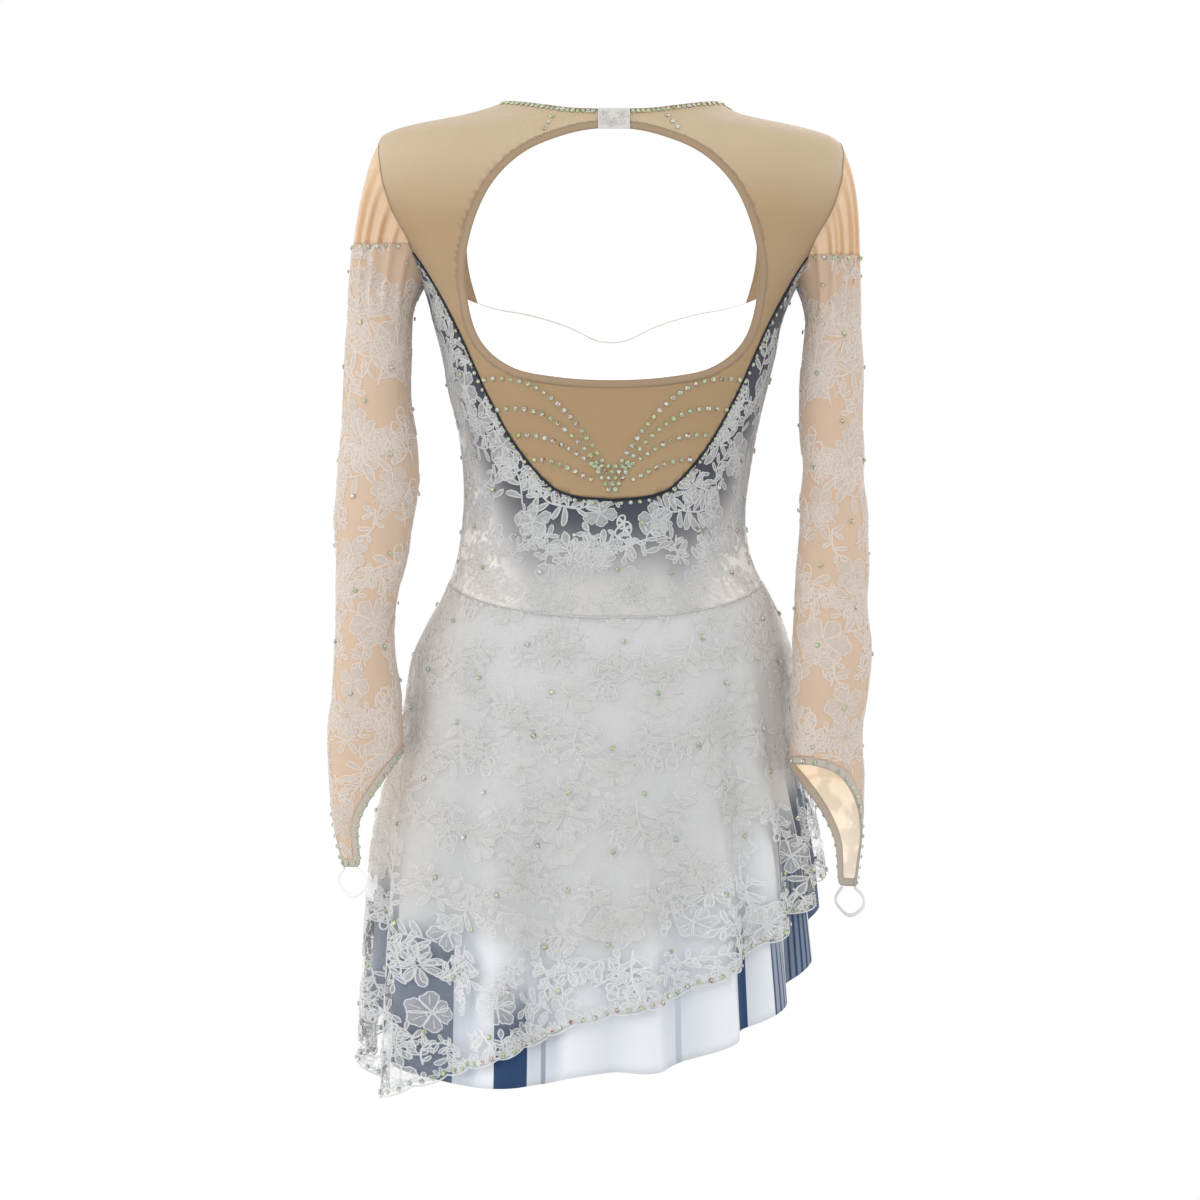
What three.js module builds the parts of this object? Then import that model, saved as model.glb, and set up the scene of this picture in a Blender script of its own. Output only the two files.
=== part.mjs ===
// A figure skating dress, filled out as if worn: nude mesh yoke with a round open back, lace
// bodice, long lace sleeves with hand points, and a slanted lace skirt over an underskirt.
// Millimetres, +Z up. The front faces -Y and the wearer's left is +X. The origin is the middle of
// the shoulder line, where the wearer carries the dress.
import * as THREE from "three";

// ---- driving sizes -------------------------------------------------------------------------
const WALL = { mesh: 1.2, lace: 1.6, skirt: 1.2, binding: 2.4, tab: 1.5 };
const SEAM_GAP = 0.6; // between two pieces that are sewn together
const TOUCH_GAP = 0.3; // between a piece and the piece that lies on it
const SNAP = 0.12; // a grid point this near a cutting line counts as on it
const SEAM_DEG = 0.1; // half of a side seam's gap, as an angle round the body
const BINDING_WIDTH = 7;
const BIG = 1e9;

// ---- body sections, from above the neck down to the hips ------------------------------------
// left and right are half widths, back and front are depths from the side seam's plane, and
// square is the superellipse power: 2 is an ellipse, more is boxier.
const BODY = [
  { z: 31, left: 88, right: 88, back: 54, front: 50, square: 2.0 },
  { z: 25, left: 98, right: 97, back: 61, front: 56, square: 2.0 },
  { z: 18, left: 117, right: 108, back: 67, front: 60, square: 2.1 },
  { z: 12, left: 140, right: 124, back: 71, front: 64, square: 2.2 },
  { z: 6, left: 171, right: 152, back: 75, front: 68, square: 2.4 },
  { z: 0, left: 195, right: 178, back: 79, front: 72, square: 2.7 },
  { z: -7, left: 209, right: 199, back: 83, front: 75, square: 2.9 },
  { z: -16, left: 212, right: 209, back: 87, front: 79, square: 3.1 },
  { z: -30, left: 213, right: 212, back: 91, front: 83, square: 3.3 },
  { z: -50, left: 211, right: 211, back: 96, front: 89, square: 3.4 },
  { z: -74, left: 204, right: 204, back: 99, front: 97, square: 3.2 },
  { z: -100, left: 192, right: 191, back: 101, front: 105, square: 2.8 },
  { z: -124, left: 180, right: 178, back: 101, front: 113, square: 2.6 },
  { z: -148, left: 169, right: 165, back: 99, front: 120, square: 2.4 },
  { z: -175, left: 162, right: 154, back: 97, front: 126, square: 2.3 },
  { z: -205, left: 154, right: 148, back: 93, front: 129, square: 2.2 },
  { z: -238, left: 148, right: 140, back: 87, front: 124, square: 2.2 },
  { z: -272, left: 140, right: 132, back: 81, front: 112, square: 2.1 },
  { z: -305, left: 135, right: 126, back: 76, front: 100, square: 2.1 },
  { z: -340, left: 134, right: 121, back: 74, front: 94, square: 2.1 },
  { z: -372, left: 137, right: 122, back: 79, front: 95, square: 2.1 },
  { z: -400, left: 143, right: 130, back: 89, front: 99, square: 2.1 },
  { z: -425, left: 154, right: 144, back: 99, front: 103, square: 2.1 },
  { z: -452, left: 169, right: 157, back: 109, front: 107, square: 2.1 },
];

// ---- skirt sections, where its folds reach furthest out -------------------------------------
const SKIRT = [
  { z: -400, left: 143, right: 130, back: 89, front: 99 },
  { z: -425, left: 154, right: 144, back: 99, front: 103 },
  { z: -452, left: 169, right: 157, back: 109, front: 107 },
  { z: -480, left: 182, right: 165, back: 118, front: 111 },
  { z: -520, left: 189, right: 169, back: 126, front: 117 },
  { z: -560, left: 196, right: 174, back: 132, front: 123 },
  { z: -605, left: 212, right: 182, back: 139, front: 129 },
  { z: -650, left: 221, right: 191, back: 145, front: 135 },
  { z: -700, left: 226, right: 197, back: 151, front: 142 },
  { z: -790, left: 232, right: 206, back: 161, front: 152 },
  { z: -880, left: 236, right: 214, back: 170, front: 161 },
];
const SKIRT_SQUARE = 2.1;
const FOLD_TOP = -425; // folds start here and are full at FOLD_FULL
const FOLD_FULL = -800;
const FOLD_SHARE = 0.85; // valleys are this much of a ridge's rise deep

// Each ridge of the skirt: at is its angle from the centre back towards the wearer's left, half
// is half its width in degrees, rise its height over the valleys, low where it starts, and lean
// how many degrees its crest leans towards the wearer's left.
const FOLDS = [
  { at: -84, half: 11, rise: 26, low: 0.0, lean: 2 },
  { at: -65, half: 9, rise: 22, low: 0.15, lean: -2.5 },
  { at: -48, half: 9, rise: 23, low: 0.0, lean: -3 },
  { at: -29, half: 11, rise: 21, low: 0.2, lean: -3.5 },
  { at: -9, half: 10, rise: 12, low: 0.45, lean: -2 },
  { at: 9, half: 9, rise: 11, low: 0.5, lean: 1.5 },
  { at: 29, half: 12, rise: 21, low: 0.2, lean: -3.5 },
  { at: 57, half: 14, rise: 28, low: 0.05, lean: 2.5 },
  { at: 81, half: 11, rise: 24, low: 0.0, lean: -2 },
  { at: 102, half: 10, rise: 22, low: 0.15, lean: 2 },
  { at: 121, half: 9, rise: 20, low: 0.05, lean: -2 },
  { at: 138, half: 8, rise: 17, low: 0.3, lean: 1.5 },
  { at: 156, half: 10, rise: 19, low: 0.15, lean: 2.5 },
  { at: 175, half: 9, rise: 14, low: 0.4, lean: -1.5 },
  { at: 193, half: 9, rise: 18, low: 0.2, lean: -2.5 },
  { at: 212, half: 10, rise: 22, low: 0.05, lean: 2 },
  { at: 231, half: 9, rise: 18, low: 0.25, lean: -2 },
  { at: 248, half: 8, rise: 21, low: 0.1, lean: 2 },
  { at: 262, half: 7, rise: 16, low: 0.3, lean: -1 },
];

// ---- hems: height of each skirt's lower edge round the body ---------------------------------
const HEMS = [
  { at: -90, lace: -667, under: -694 },
  { at: -70, lace: -700, under: -736 },
  { at: -58, lace: -712, under: -774 },
  { at: -50, lace: -726, under: -788 },
  { at: -42, lace: -740, under: -808 },
  { at: -32, lace: -758, under: -820 },
  { at: -19, lace: -779, under: -840 },
  { at: -8, lace: -794, under: -849 },
  { at: 0, lace: -799, under: -848 },
  { at: 17, lace: -822, under: -859 },
  { at: 30, lace: -841, under: -863 },
  { at: 45, lace: -858, under: -860 },
  { at: 57, lace: -875, under: -845 },
  { at: 68, lace: -869, under: -825 },
  { at: 80, lace: -848, under: -785 },
  { at: 90, lace: -841, under: -775 },
  { at: 120, lace: -815, under: -785 },
  { at: 150, lace: -780, under: -800 },
  { at: 180, lace: -745, under: -795 },
  { at: 210, lace: -712, under: -762 },
  { at: 240, lace: -685, under: -730 },
  { at: 270, lace: -667, under: -694 },
];
const WAIST = { side: -410, dipBack: 33, dipFront: 22 };
const UNDER_INSET = { top: 1.8, low: 9 };
const UNDER_DROP = 1.6; // the underskirt is sewn in this far under the waist seam

// ---- cutting lines on the body, as seen from behind or in front ------------------------------
const LACE_TOP_BACK = [
  { x: 0, z: -337.5 },
  { x: 34, z: -334 },
  { x: 55, z: -325 },
  { x: 87, z: -288 },
  { x: 114, z: -239 },
  { x: 143, z: -175 },
  { x: 172, z: -124 },
  { x: 200, z: -88 },
];
const LACE_TOP_FRONT = [
  { x: 0, z: -190 },
  { x: 14, z: -188 },
  { x: 42, z: -175 },
  { x: 76, z: -165 },
  { x: 110, z: -159 },
  { x: 142, z: -147 },
  { x: 172, z: -127 },
  { x: 200, z: -100 },
];
// The open back, half of it: the other half mirrors it.
const KEYHOLE = [
  { x: 0, z: -3 },
  { x: 38, z: -8 },
  { x: 80, z: -26 },
  { x: 110, z: -57 },
  { x: 128, z: -101 },
  { x: 132, z: -143 },
  { x: 121, z: -190 },
  { x: 92, z: -217 },
  { x: 50, z: -227 },
  { x: 0, z: -230 },
];
const NECK_BACK = [
  { x: 0, z: 14.5 },
  { x: 35, z: 15.5 },
  { x: 60, z: 19 },
  { x: 85, z: 23 },
  { x: 110, z: 26 },
];
// The front neckline of one side, from the shoulder down to the lace.
const NECK_FRONT = [
  { z: 40, x: 84 },
  { z: 25, x: 98 },
  { z: 12, x: 115 },
  { z: -20, x: 127 },
  { z: -70, x: 133 },
  { z: -120, x: 133 },
  { z: -175, x: 118 },
];
// The armhole from the side: y is towards the back.
const ARMHOLE = [
  { y: 0, z: -12 },
  { y: 24, z: -18 },
  { y: 40, z: -38 },
  { y: 46, z: -68 },
  { y: 44, z: -98 },
  { y: 32, z: -126 },
  { y: 14, z: -141 },
  { y: 0, z: -144 },
  { y: -15, z: -141 },
  { y: -34, z: -126 },
  { y: -45, z: -98 },
  { y: -46, z: -68 },
  { y: -39, z: -38 },
  { y: -23, z: -18 },
];
const ARMHOLE_INSIDE_X = 120; // armholes are cut only outside this distance from the middle

// ---- closure tab at the nape ------------------------------------------------------------------
const TAB = { from: -16.2, to: 12.6, top: 14, bottom: -4.5, slit: 0.5 };

// ---- sleeves: inner and outer are distances from the middle ----------------------------------
const SLEEVE_LEFT = [
  { z: -175, inner: 181, outer: 240, depth: 43, y: 2 },
  { z: -212, inner: 182, outer: 243, depth: 43, y: 6 },
  { z: -250, inner: 181, outer: 245, depth: 42, y: 11 },
  { z: -302, inner: 175, outer: 247, depth: 42, y: 20 },
  { z: -356, inner: 181, outer: 250, depth: 38, y: 30 },
  { z: -392, inner: 186, outer: 249, depth: 36, y: 38 },
  { z: -428, inner: 193, outer: 250, depth: 34, y: 46 },
  { z: -464, inner: 196, outer: 250, depth: 33, y: 54 },
  { z: -518, inner: 191, outer: 252, depth: 32, y: 62 },
  { z: -554, inner: 189, outer: 255, depth: 31, y: 66 },
  { z: -590, inner: 192, outer: 254, depth: 29, y: 69 },
  { z: -625, inner: 202, outer: 252, depth: 25, y: 71 },
  { z: -668, inner: 201, outer: 243, depth: 21, y: 72 },
];
const SLEEVE_RIGHT = [
  { z: -175, inner: 176, outer: 226, depth: 43, y: 2 },
  { z: -212, inner: 172, outer: 227, depth: 43, y: 6 },
  { z: -250, inner: 171, outer: 227, depth: 42, y: 11 },
  { z: -302, inner: 173, outer: 229, depth: 41, y: 20 },
  { z: -356, inner: 169, outer: 231, depth: 38, y: 33 },
  { z: -392, inner: 167, outer: 231, depth: 37, y: 43 },
  { z: -428, inner: 165, outer: 229, depth: 36, y: 53 },
  { z: -464, inner: 164, outer: 233, depth: 35, y: 63 },
  { z: -500, inner: 163, outer: 233, depth: 34, y: 71 },
  { z: -536, inner: 160, outer: 226, depth: 32, y: 77 },
  { z: -590, inner: 159, outer: 225, depth: 30, y: 80 },
  { z: -640, inner: 172, outer: 224, depth: 26, y: 81 },
  { z: -686, inner: 177, outer: 220, depth: 22, y: 82 },
];
// One row for each sleeve: point is the angle that the hand point lies at (0 outer, 90 back),
// short and long the cuff's heights, laceTop where the lace starts.
const SLEEVES = {
  left: { side: 1, rows: SLEEVE_LEFT, point: 44, short: -562, long: -667, laceTop: -105 },
  right: { side: -1, rows: SLEEVE_RIGHT, point: -38, short: -575, long: -685, laceTop: -115 },
};
// How far the cuff drops with the turn away from the hand point: 1 is the full drop.
const HAND_POINT = [
  { turn: 0, drop: 1 },
  { turn: 20, drop: 1 },
  { turn: 33, drop: 0.985 },
  { turn: 38, drop: 0.92 },
  { turn: 41, drop: 0.78 },
  { turn: 45, drop: 0.66 },
  { turn: 54, drop: 0.53 },
  { turn: 69, drop: 0.36 },
  { turn: 90, drop: 0.19 },
  { turn: 114, drop: 0.07 },
  { turn: 146, drop: 0.01 },
  { turn: 180, drop: 0 },
];
const HEAD_LEAVES = new THREE.Vector3(0, 0, -0.8); // how a sleeve head leaves the armhole
const CUFF_REACH = 27; // mean radius of the tube at the cuff
// The elastic finger loop: turn is where its ends are sewn either side of the hand point, and
// path goes from one end to the other in shares of the half width and mm below the point.
const LOOP = {
  radius: 1.3,
  sides: 6,
  steps: 18,
  turn: 25,
  path: [
    [-1, 0.6],
    [-2, 10],
    [-1.6, 18],
    [0.2, 26],
    [2.2, 19],
    [2.4, 9],
    [1, 0.6],
  ],
};

// ---- small maths ------------------------------------------------------------------------------
const rad = THREE.MathUtils.degToRad;

/** Smooth value of a column in a table whose rows are in order of another column. */
function along(table, by, key, at) {
  const up = table[table.length - 1][by] > table[0][by];
  const beyond = (row) => (up ? row[by] > at : row[by] < at);
  const found = table.findIndex(beyond);
  if (found === 0) return table[0][key];
  if (found < 0) return table[table.length - 1][key];
  const slope = (i) => {
    const a = table[Math.max(i - 1, 0)];
    const b = table[Math.min(i + 1, table.length - 1)];
    return (b[key] - a[key]) / (b[by] - a[by]);
  };
  const [a, b] = [table[found - 1], table[found]];
  const span = b[by] - a[by];
  const t = (at - a[by]) / span;
  const [t2, t3] = [t * t, t * t * t];
  return (
    (2 * t3 - 3 * t2 + 1) * a[key] +
    (t3 - 2 * t2 + t) * span * slope(found - 1) +
    (3 * t2 - 2 * t3) * b[key] +
    (t3 - t2) * span * slope(found)
  );
}

function smooth(t) {
  const c = THREE.MathUtils.clamp(t, 0, 1);
  return c * c * (3 - 2 * c);
}

/** A point of a superellipse ring; turn is 0 at the centre back and 90 at the wearer's left. */
function ringPoint(turn, row, square, inset = 0) {
  const [s, c] = [Math.sin(rad(turn)), Math.cos(rad(turn))];
  const reach = (Math.abs(s) ** square + Math.abs(c) ** square) ** (-1 / square);
  const width = (s > 0 ? row.left : row.right) - inset;
  const depth = (c > 0 ? row.back : row.front) - inset;
  return new THREE.Vector3(width * reach * s, depth * reach * c, row.z);
}

/** Signed distance from a closed outline of [a, b] points: positive inside it. */
function insideOutline(outline, a, b) {
  let nearest = BIG;
  let inside = false;
  outline.forEach(([ax, ay], i) => {
    const [bx, by] = outline[(i + 1) % outline.length];
    const [ex, ey] = [bx - ax, by - ay];
    const t = THREE.MathUtils.clamp(((a - ax) * ex + (b - ay) * ey) / (ex * ex + ey * ey), 0, 1);
    nearest = Math.min(nearest, Math.hypot(a - ax - t * ex, b - ay - t * ey));
    if (ay > b !== by > b && a < ax + ((b - ay) / (by - ay)) * ex) inside = !inside;
  });
  return inside ? nearest : -nearest;
}

/** A closed smooth outline through points. */
function closedOutline(points, count) {
  const curve = new THREE.SplineCurve([...points, points[0]].map(([a, b]) => new THREE.Vector2(a, b)));
  return curve.getPoints(count).slice(0, -1).map((p) => [p.x, p.y]);
}

/** Distance above a line that is a height over x, positive above it. */
function aboveLine(table, x, z) {
  const at = Math.abs(x);
  const height = along(table, "x", "z", at);
  const slope = (along(table, "x", "z", at + 1) - along(table, "x", "z", Math.max(at - 1, 0))) / 2;
  return (z - height) / Math.hypot(1, slope);
}

// ---- walls --------------------------------------------------------------------------------------
/** Cuts a grid of cells with edge functions that are positive on the part that is kept. */
function cutGrid(surface, us, vs, closed, edges) {
  const spots = [];
  const columns = closed ? us.length : us.length - 1;
  for (const v of vs) for (const u of us) spots.push([u, v]);
  const id = (i, j) => j * us.length + (i % us.length);
  let cells = [];
  for (let j = 0; j < vs.length - 1; j++)
    for (let i = 0; i < columns; i++)
      cells.push([id(i, j), id(i + 1, j), id(i + 1, j + 1), id(i, j + 1)]);
  const turn = closed ? 360 : 0;
  for (const edge of edges) {
    const value = (u, v) => edge(surface(u, v), u, v);
    const g = spots.map(([u, v]) => {
      const d = value(u, v);
      return Math.abs(d) < SNAP ? 0 : d;
    });
    const made = new Map();
    const cut = (a, b) => {
      const key = a < b ? `${a}_${b}` : `${b}_${a}`;
      if (made.has(key)) return made.get(key);
      const [ua, va] = spots[a];
      let [ub, vb] = spots[b];
      if (closed && Math.abs(ub - ua) > 180) ub += ub < ua ? turn : -turn;
      let [low, high, gl, gh] = [0, 1, g[a], g[b]];
      let t = gl / (gl - gh);
      for (let k = 0; k < 8; k++) {
        const gt = value(ua + t * (ub - ua), va + t * (vb - va));
        if (gt > 0 === gl > 0) [low, gl] = [t, gt];
        else [high, gh] = [t, gt];
        t = low + ((high - low) * gl) / (gl - gh || 1);
      }
      spots.push([ua + t * (ub - ua), va + t * (vb - va)]);
      g.push(0);
      made.set(key, spots.length - 1);
      return spots.length - 1;
    };
    cells = cells
      .map((cell) => {
        if (cell.every((i) => g[i] >= 0)) return cell.some((i) => g[i] > 0) ? cell : [];
        if (cell.every((i) => g[i] <= 0)) return [];
        const kept = [];
        cell.forEach((a, k) => {
          const b = cell[(k + 1) % cell.length];
          if (g[a] >= 0) kept.push(a);
          if (g[a] * g[b] < 0) kept.push(cut(a, b));
        });
        return kept;
      })
      .filter((cell) => cell.length > 2);
  }
  return { spots, cells };
}

/** Splits a cell into the fan of triangles whose smallest one is largest. */
function fan(cell, place) {
  if (cell.length === 3) return [cell];
  let [best, chosen] = [-1, []];
  for (let k = 0; k < cell.length; k++) {
    const turned = [...cell.slice(k), ...cell.slice(0, k)];
    const parts = turned.slice(2).map((c, i) => [turned[0], turned[i + 1], c]);
    const least = Math.min(
      ...parts.map(([a, b, c]) => new THREE.Triangle(place[a], place[b], place[c]).getArea()),
    );
    if (least > best) [best, chosen] = [least, parts];
  }
  return chosen;
}

/**
 * A wall of cloth on a surface. Its outer face is lift outside the surface and its inner face is
 * thick inside that; core gives a point inside the tube, so that outward is known.
 */
function wall({ surface, us, vs, closed = false, edges = [], thick, lift = 0, core }) {
  const { spots, cells } = cutGrid(surface, us, vs, closed, edges);
  const used = [...new Set(cells.flat())];
  const step = { u: 0.05, v: 0.002 };
  const [vLow, vHigh] = [Math.min(...vs), Math.max(...vs)];
  const face = new Map();
  let outwardSum = 0;
  for (const i of used) {
    const [u, v] = spots[i];
    const point = surface(u, v);
    const alongU = surface(u + step.u, v).sub(surface(u - step.u, v));
    const upper = Math.min(v + step.v, vHigh);
    const lower = Math.max(v - step.v, vLow);
    const alongV = surface(u, upper).sub(surface(u, lower));
    const normal = alongU.cross(alongV).normalize();
    outwardSum += normal.dot(point.clone().sub(core(point)));
    face.set(i, { point, normal });
  }
  const sign = outwardSum > 0 ? 1 : -1;
  const place = new Map();
  const positions = [];
  const order = new Map();
  used.forEach((i, k) => {
    const { point, normal } = face.get(i);
    const outer = point.clone().addScaledVector(normal, sign * lift);
    const inner = point.clone().addScaledVector(normal, sign * (lift - thick));
    place.set(i, outer);
    positions.push(...outer.toArray(), ...inner.toArray());
    order.set(i, 2 * k);
  });
  const outerPlace = Object.fromEntries(place);
  const triangles = [];
  const loose = new Map();
  for (const cell of cells)
    for (const part of fan(sign > 0 ? cell : [...cell].reverse(), outerPlace)) {
      const [a, b, c] = part.map((i) => order.get(i));
      triangles.push(a, b, c, c + 1, b + 1, a + 1);
      for (const [from, to] of [[a, b], [b, c], [c, a]]) {
        if (loose.has(`${to}_${from}`)) loose.delete(`${to}_${from}`);
        else loose.set(`${from}_${to}`, [from, to]);
      }
    }
  for (const [from, to] of loose.values())
    triangles.push(to, from, from + 1, to, from + 1, to + 1);
  const geometry = new THREE.BufferGeometry();
  geometry.setAttribute("position", new THREE.Float32BufferAttribute(positions, 3));
  geometry.setIndex(triangles);
  geometry.computeVertexNormals();
  return geometry;
}

function steps(from, to, count) {
  return Array.from({ length: count + 1 }, (_, i) => from + ((to - from) * i) / count);
}

// ---- surfaces -----------------------------------------------------------------------------------
const BODY_INDEXED = BODY.map((row, index) => ({ ...row, index }));

/** The body's surface: v counts the rows of BODY. */
function bodySurface(turn, v) {
  const row = {};
  for (const key of Object.keys(BODY[0])) row[key] = along(BODY_INDEXED, "index", key, v);
  return ringPoint(turn, row, row.square);
}

function waistHeight(turn) {
  const c = Math.cos(rad(turn));
  return WAIST.side - (c > 0 ? WAIST.dipBack : WAIST.dipFront) * Math.abs(c) ** 1.5;
}

/** The folds at an angle and height: how far back from the furthest reach, and the crest's lean. */
function foldAt(turn, z) {
  const share = (FOLD_TOP - z) / (FOLD_TOP - FOLD_FULL);
  let [raised, deepest, lean] = [0, 0, 0];
  for (const fold of FOLDS) {
    const away = Math.abs(((turn - fold.at + 540) % 360) - 180) / fold.half;
    const grow = smooth((share - fold.low) / (1.15 - fold.low)) ** 0.8;
    const crest = away < 1 ? (1 + Math.cos(Math.PI * away)) / 2 : 0;
    const near = smooth((2.4 - away) / 1.2);
    deepest = Math.max(deepest, fold.rise * grow * near);
    raised += fold.rise * grow * crest;
    lean += fold.lean * grow * crest;
  }
  return { back: FOLD_SHARE * Math.max(deepest - raised, 0), lean };
}

/** The skirt's surface: v is 0 at the waist seam and 1 at the hem that column names. */
function skirtSurface(column, inset, seamGap) {
  return (turn, v) => {
    const at = ((turn + 90 + 360) % 360) - 90;
    const top = waistHeight(turn) - seamGap;
    const z = top + (along(HEMS, "at", column, at) - top) * v;
    const row = { z };
    for (const key of ["left", "right", "back", "front"]) row[key] = along(SKIRT, "z", key, z);
    const fold = foldAt(turn, z);
    return ringPoint(turn + fold.lean, row, SKIRT_SQUARE, inset(v) + fold.back);
  };
}

/** The armhole's own point at an angle of the sleeve: 0 is its top and 90 its back. */
const ARMHOLE_OUTLINE = closedOutline(ARMHOLE.map((p) => [p.y, p.z]), 48);
const ARMHOLE_MIDDLE = [0, -80];

function armholePoint(turn, side, shrink) {
  const direction = [Math.sin(rad(turn)), Math.cos(rad(turn))];
  let [low, high] = [0, 120];
  for (let k = 0; k < 30; k++) {
    const mid = (low + high) / 2;
    const [y, z] = direction.map((d, i) => ARMHOLE_MIDDLE[i] + d * mid);
    if (insideOutline(ARMHOLE_OUTLINE, y, z) > shrink) low = mid;
    else high = mid;
  }
  const [y, z] = direction.map((d, i) => ARMHOLE_MIDDLE[i] + d * low);
  const index = along(BODY_INDEXED.map((r) => ({ z: r.z, index: r.index })), "z", "index", z);
  let [a, b] = y > 0 ? [45, 90] : [135, 90];
  for (let k = 0; k < 30; k++) {
    const mid = (a + b) / 2;
    if (Math.abs(bodySurface(side * mid, index).y) > Math.abs(y)) a = mid;
    else b = mid;
  }
  const x = bodySurface((side * (a + b)) / 2, index).x;
  return new THREE.Vector3(x, y, z);
}

/** The part of the sleeve above the cuff's edge, laid flat: along is the way round in mm. */
function cuffOutline(sleeve) {
  const mirrored = [
    ...HAND_POINT.slice(1, 8).reverse().map((row) => [-row.turn, row.drop]),
    ...HAND_POINT.map((row) => [row.turn, row.drop]),
    ...HAND_POINT.slice(8, -1).reverse().map((row) => [360 - row.turn, row.drop]),
  ];
  const curve = new THREE.SplineCurve(
    mirrored.map(
      ([turn, drop]) =>
        new THREE.Vector2(
          rad(turn) * CUFF_REACH,
          sleeve.short + (sleeve.long - sleeve.short) * drop,
        ),
    ),
  );
  const edge = curve.getPoints(90).map((p) => [p.x, p.y]);
  return [...edge, [edge.at(-1)[0], 0], [edge[0][0], 0]];
}

/** Distance inside the cuff's edge at an angle and a height. */
function insideCuff(sleeve, outline, turn, z) {
  const away = Math.abs(((turn - sleeve.point + 540) % 360) - 180);
  return insideOutline(outline, rad(away) * CUFF_REACH, z);
}

function sleeveRing(sleeve, turn, z) {
  const [inner, outer, depth, y] = ["inner", "outer", "depth", "y"].map((key) =>
    along(sleeve.rows, "z", key, z),
  );
  const [c, s] = [Math.cos(rad(turn)), Math.sin(rad(turn))];
  const x = (inner + outer) / 2 + ((outer - inner) / 2) * c;
  return new THREE.Vector3(sleeve.side * x, y + depth * s, z);
}

/** The sleeve's surface: v from 0 to 1 is its head, from 1 to 2 the tube down to the point. */
function sleeveSurface(sleeve) {
  const top = sleeve.rows[0].z;
  const starts = new Map();
  const startOf = (turn) => {
    const key = turn.toFixed(4);
    if (!starts.has(key)) starts.set(key, armholePoint(turn, sleeve.side, SEAM_GAP));
    return starts.get(key);
  };
  return (turn, v) => {
    if (v > 1) return sleeveRing(sleeve, turn, top + (sleeve.long - 1 - top) * (v - 1));
    const from = startOf(turn);
    const to = sleeveRing(sleeve, turn, top);
    const reach = from.distanceTo(to);
    const leave = from.clone().addScaledVector(HEAD_LEAVES, 0.16 * reach);
    leave.x += sleeve.side * 0.09 * reach;
    const arrive = to.clone().add(new THREE.Vector3(0, 0, 0.36 * reach));
    return new THREE.CubicBezierCurve3(from, leave, arrive, to).getPoint(v);
  };
}

// ---- materials -----------------------------------------------------------------------------------
const cloth = (color, roughness) => new THREE.MeshStandardMaterial({ color, roughness, metalness: 0 });
const NUDE_MESH = cloth(0xc9ae8a, 0.6);
const WHITE_LACE = cloth(0xe6e6e6, 0.75);
const PEACH_LACE = cloth(0xe3cdb9, 0.75);
const UNDERSKIRT = cloth(0xdfe3ea, 0.45);
const BINDING = cloth(0xb39872, 0.55);
const ELASTIC = cloth(0xf2f2f0, 0.8);

const dress = new THREE.Group();

function add(name, geometry, material) {
  const mesh = new THREE.Mesh(geometry, material);
  mesh.name = name;
  dress.add(mesh);
}

// ---- body pieces ---------------------------------------------------------------------------------
const bodyCore = (p) => new THREE.Vector3(0, 0, Math.min(p.z, -40));
const BODY_ROWS = steps(0, BODY.length - 1, BODY.length - 1);
const BACK_TURNS = steps(-90 + SEAM_DEG, 90 - SEAM_DEG, 28);
const FRONT_TURNS = steps(90 + SEAM_DEG, 270 - SEAM_DEG, 24);
const half = SEAM_GAP / 2;

const keyholeOutline = closedOutline(
  [
    ...KEYHOLE.map((p) => [p.x, p.z]),
    ...KEYHOLE.slice(1, -1).reverse().map((p) => [-p.x, p.z]),
  ],
  72,
);
const inKeyhole = (p) => insideOutline(keyholeOutline, p.x, p.z);
const inArmhole = (p) =>
  Math.abs(p.x) < ARMHOLE_INSIDE_X ? -BIG : insideOutline(ARMHOLE_OUTLINE, p.y, p.z);
const outsideFrontNeck = (p) => {
  const slope = along(NECK_FRONT, "z", "x", p.z + 1) - along(NECK_FRONT, "z", "x", p.z - 1);
  return (Math.abs(p.x) - along(NECK_FRONT, "z", "x", p.z)) / Math.hypot(1, slope / 2);
};
const laceTopBack = (p) => aboveLine(LACE_TOP_BACK, p.x, p.z);
const laceTopFront = (p) => aboveLine(LACE_TOP_FRONT, p.x, p.z);
const slit = (TAB.from + TAB.to) / 2;

add(
  "yoke_back",
  wall({
    surface: bodySurface,
    us: BACK_TURNS,
    vs: BODY_ROWS,
    thick: WALL.mesh,
    core: bodyCore,
    edges: [
      (p) => laceTopBack(p) - half,
      (p) => -inKeyhole(p) - BINDING_WIDTH - SEAM_GAP,
      (p) => -aboveLine(NECK_BACK, p.x, p.z),
      (p) => -inArmhole(p),
      (p) => (p.z < -60 ? BIG : Math.abs(p.x - slit) - TAB.slit),
    ],
  }),
  NUDE_MESH,
);

add(
  "keyhole_binding",
  wall({
    surface: bodySurface,
    us: BACK_TURNS,
    vs: BODY_ROWS,
    thick: WALL.binding,
    lift: (WALL.binding - WALL.mesh) / 2,
    core: bodyCore,
    edges: [
      (p) => inKeyhole(p) + BINDING_WIDTH,
      (p) => -inKeyhole(p),
      (p) => (p.z < -60 ? BIG : Math.abs(p.x - slit) - TAB.slit),
    ],
  }),
  BINDING,
);

for (const [name, side] of [["left", 1], ["right", -1]])
  add(
    `yoke_front_${name}`,
    wall({
      surface: bodySurface,
      us: FRONT_TURNS,
      vs: BODY_ROWS,
      thick: WALL.mesh,
      core: bodyCore,
      edges: [
        (p) => p.x * side - 1,
        (p) => laceTopFront(p) - half,
        outsideFrontNeck,
        (p) => -inArmhole(p),
      ],
    }),
    NUDE_MESH,
  );

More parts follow.
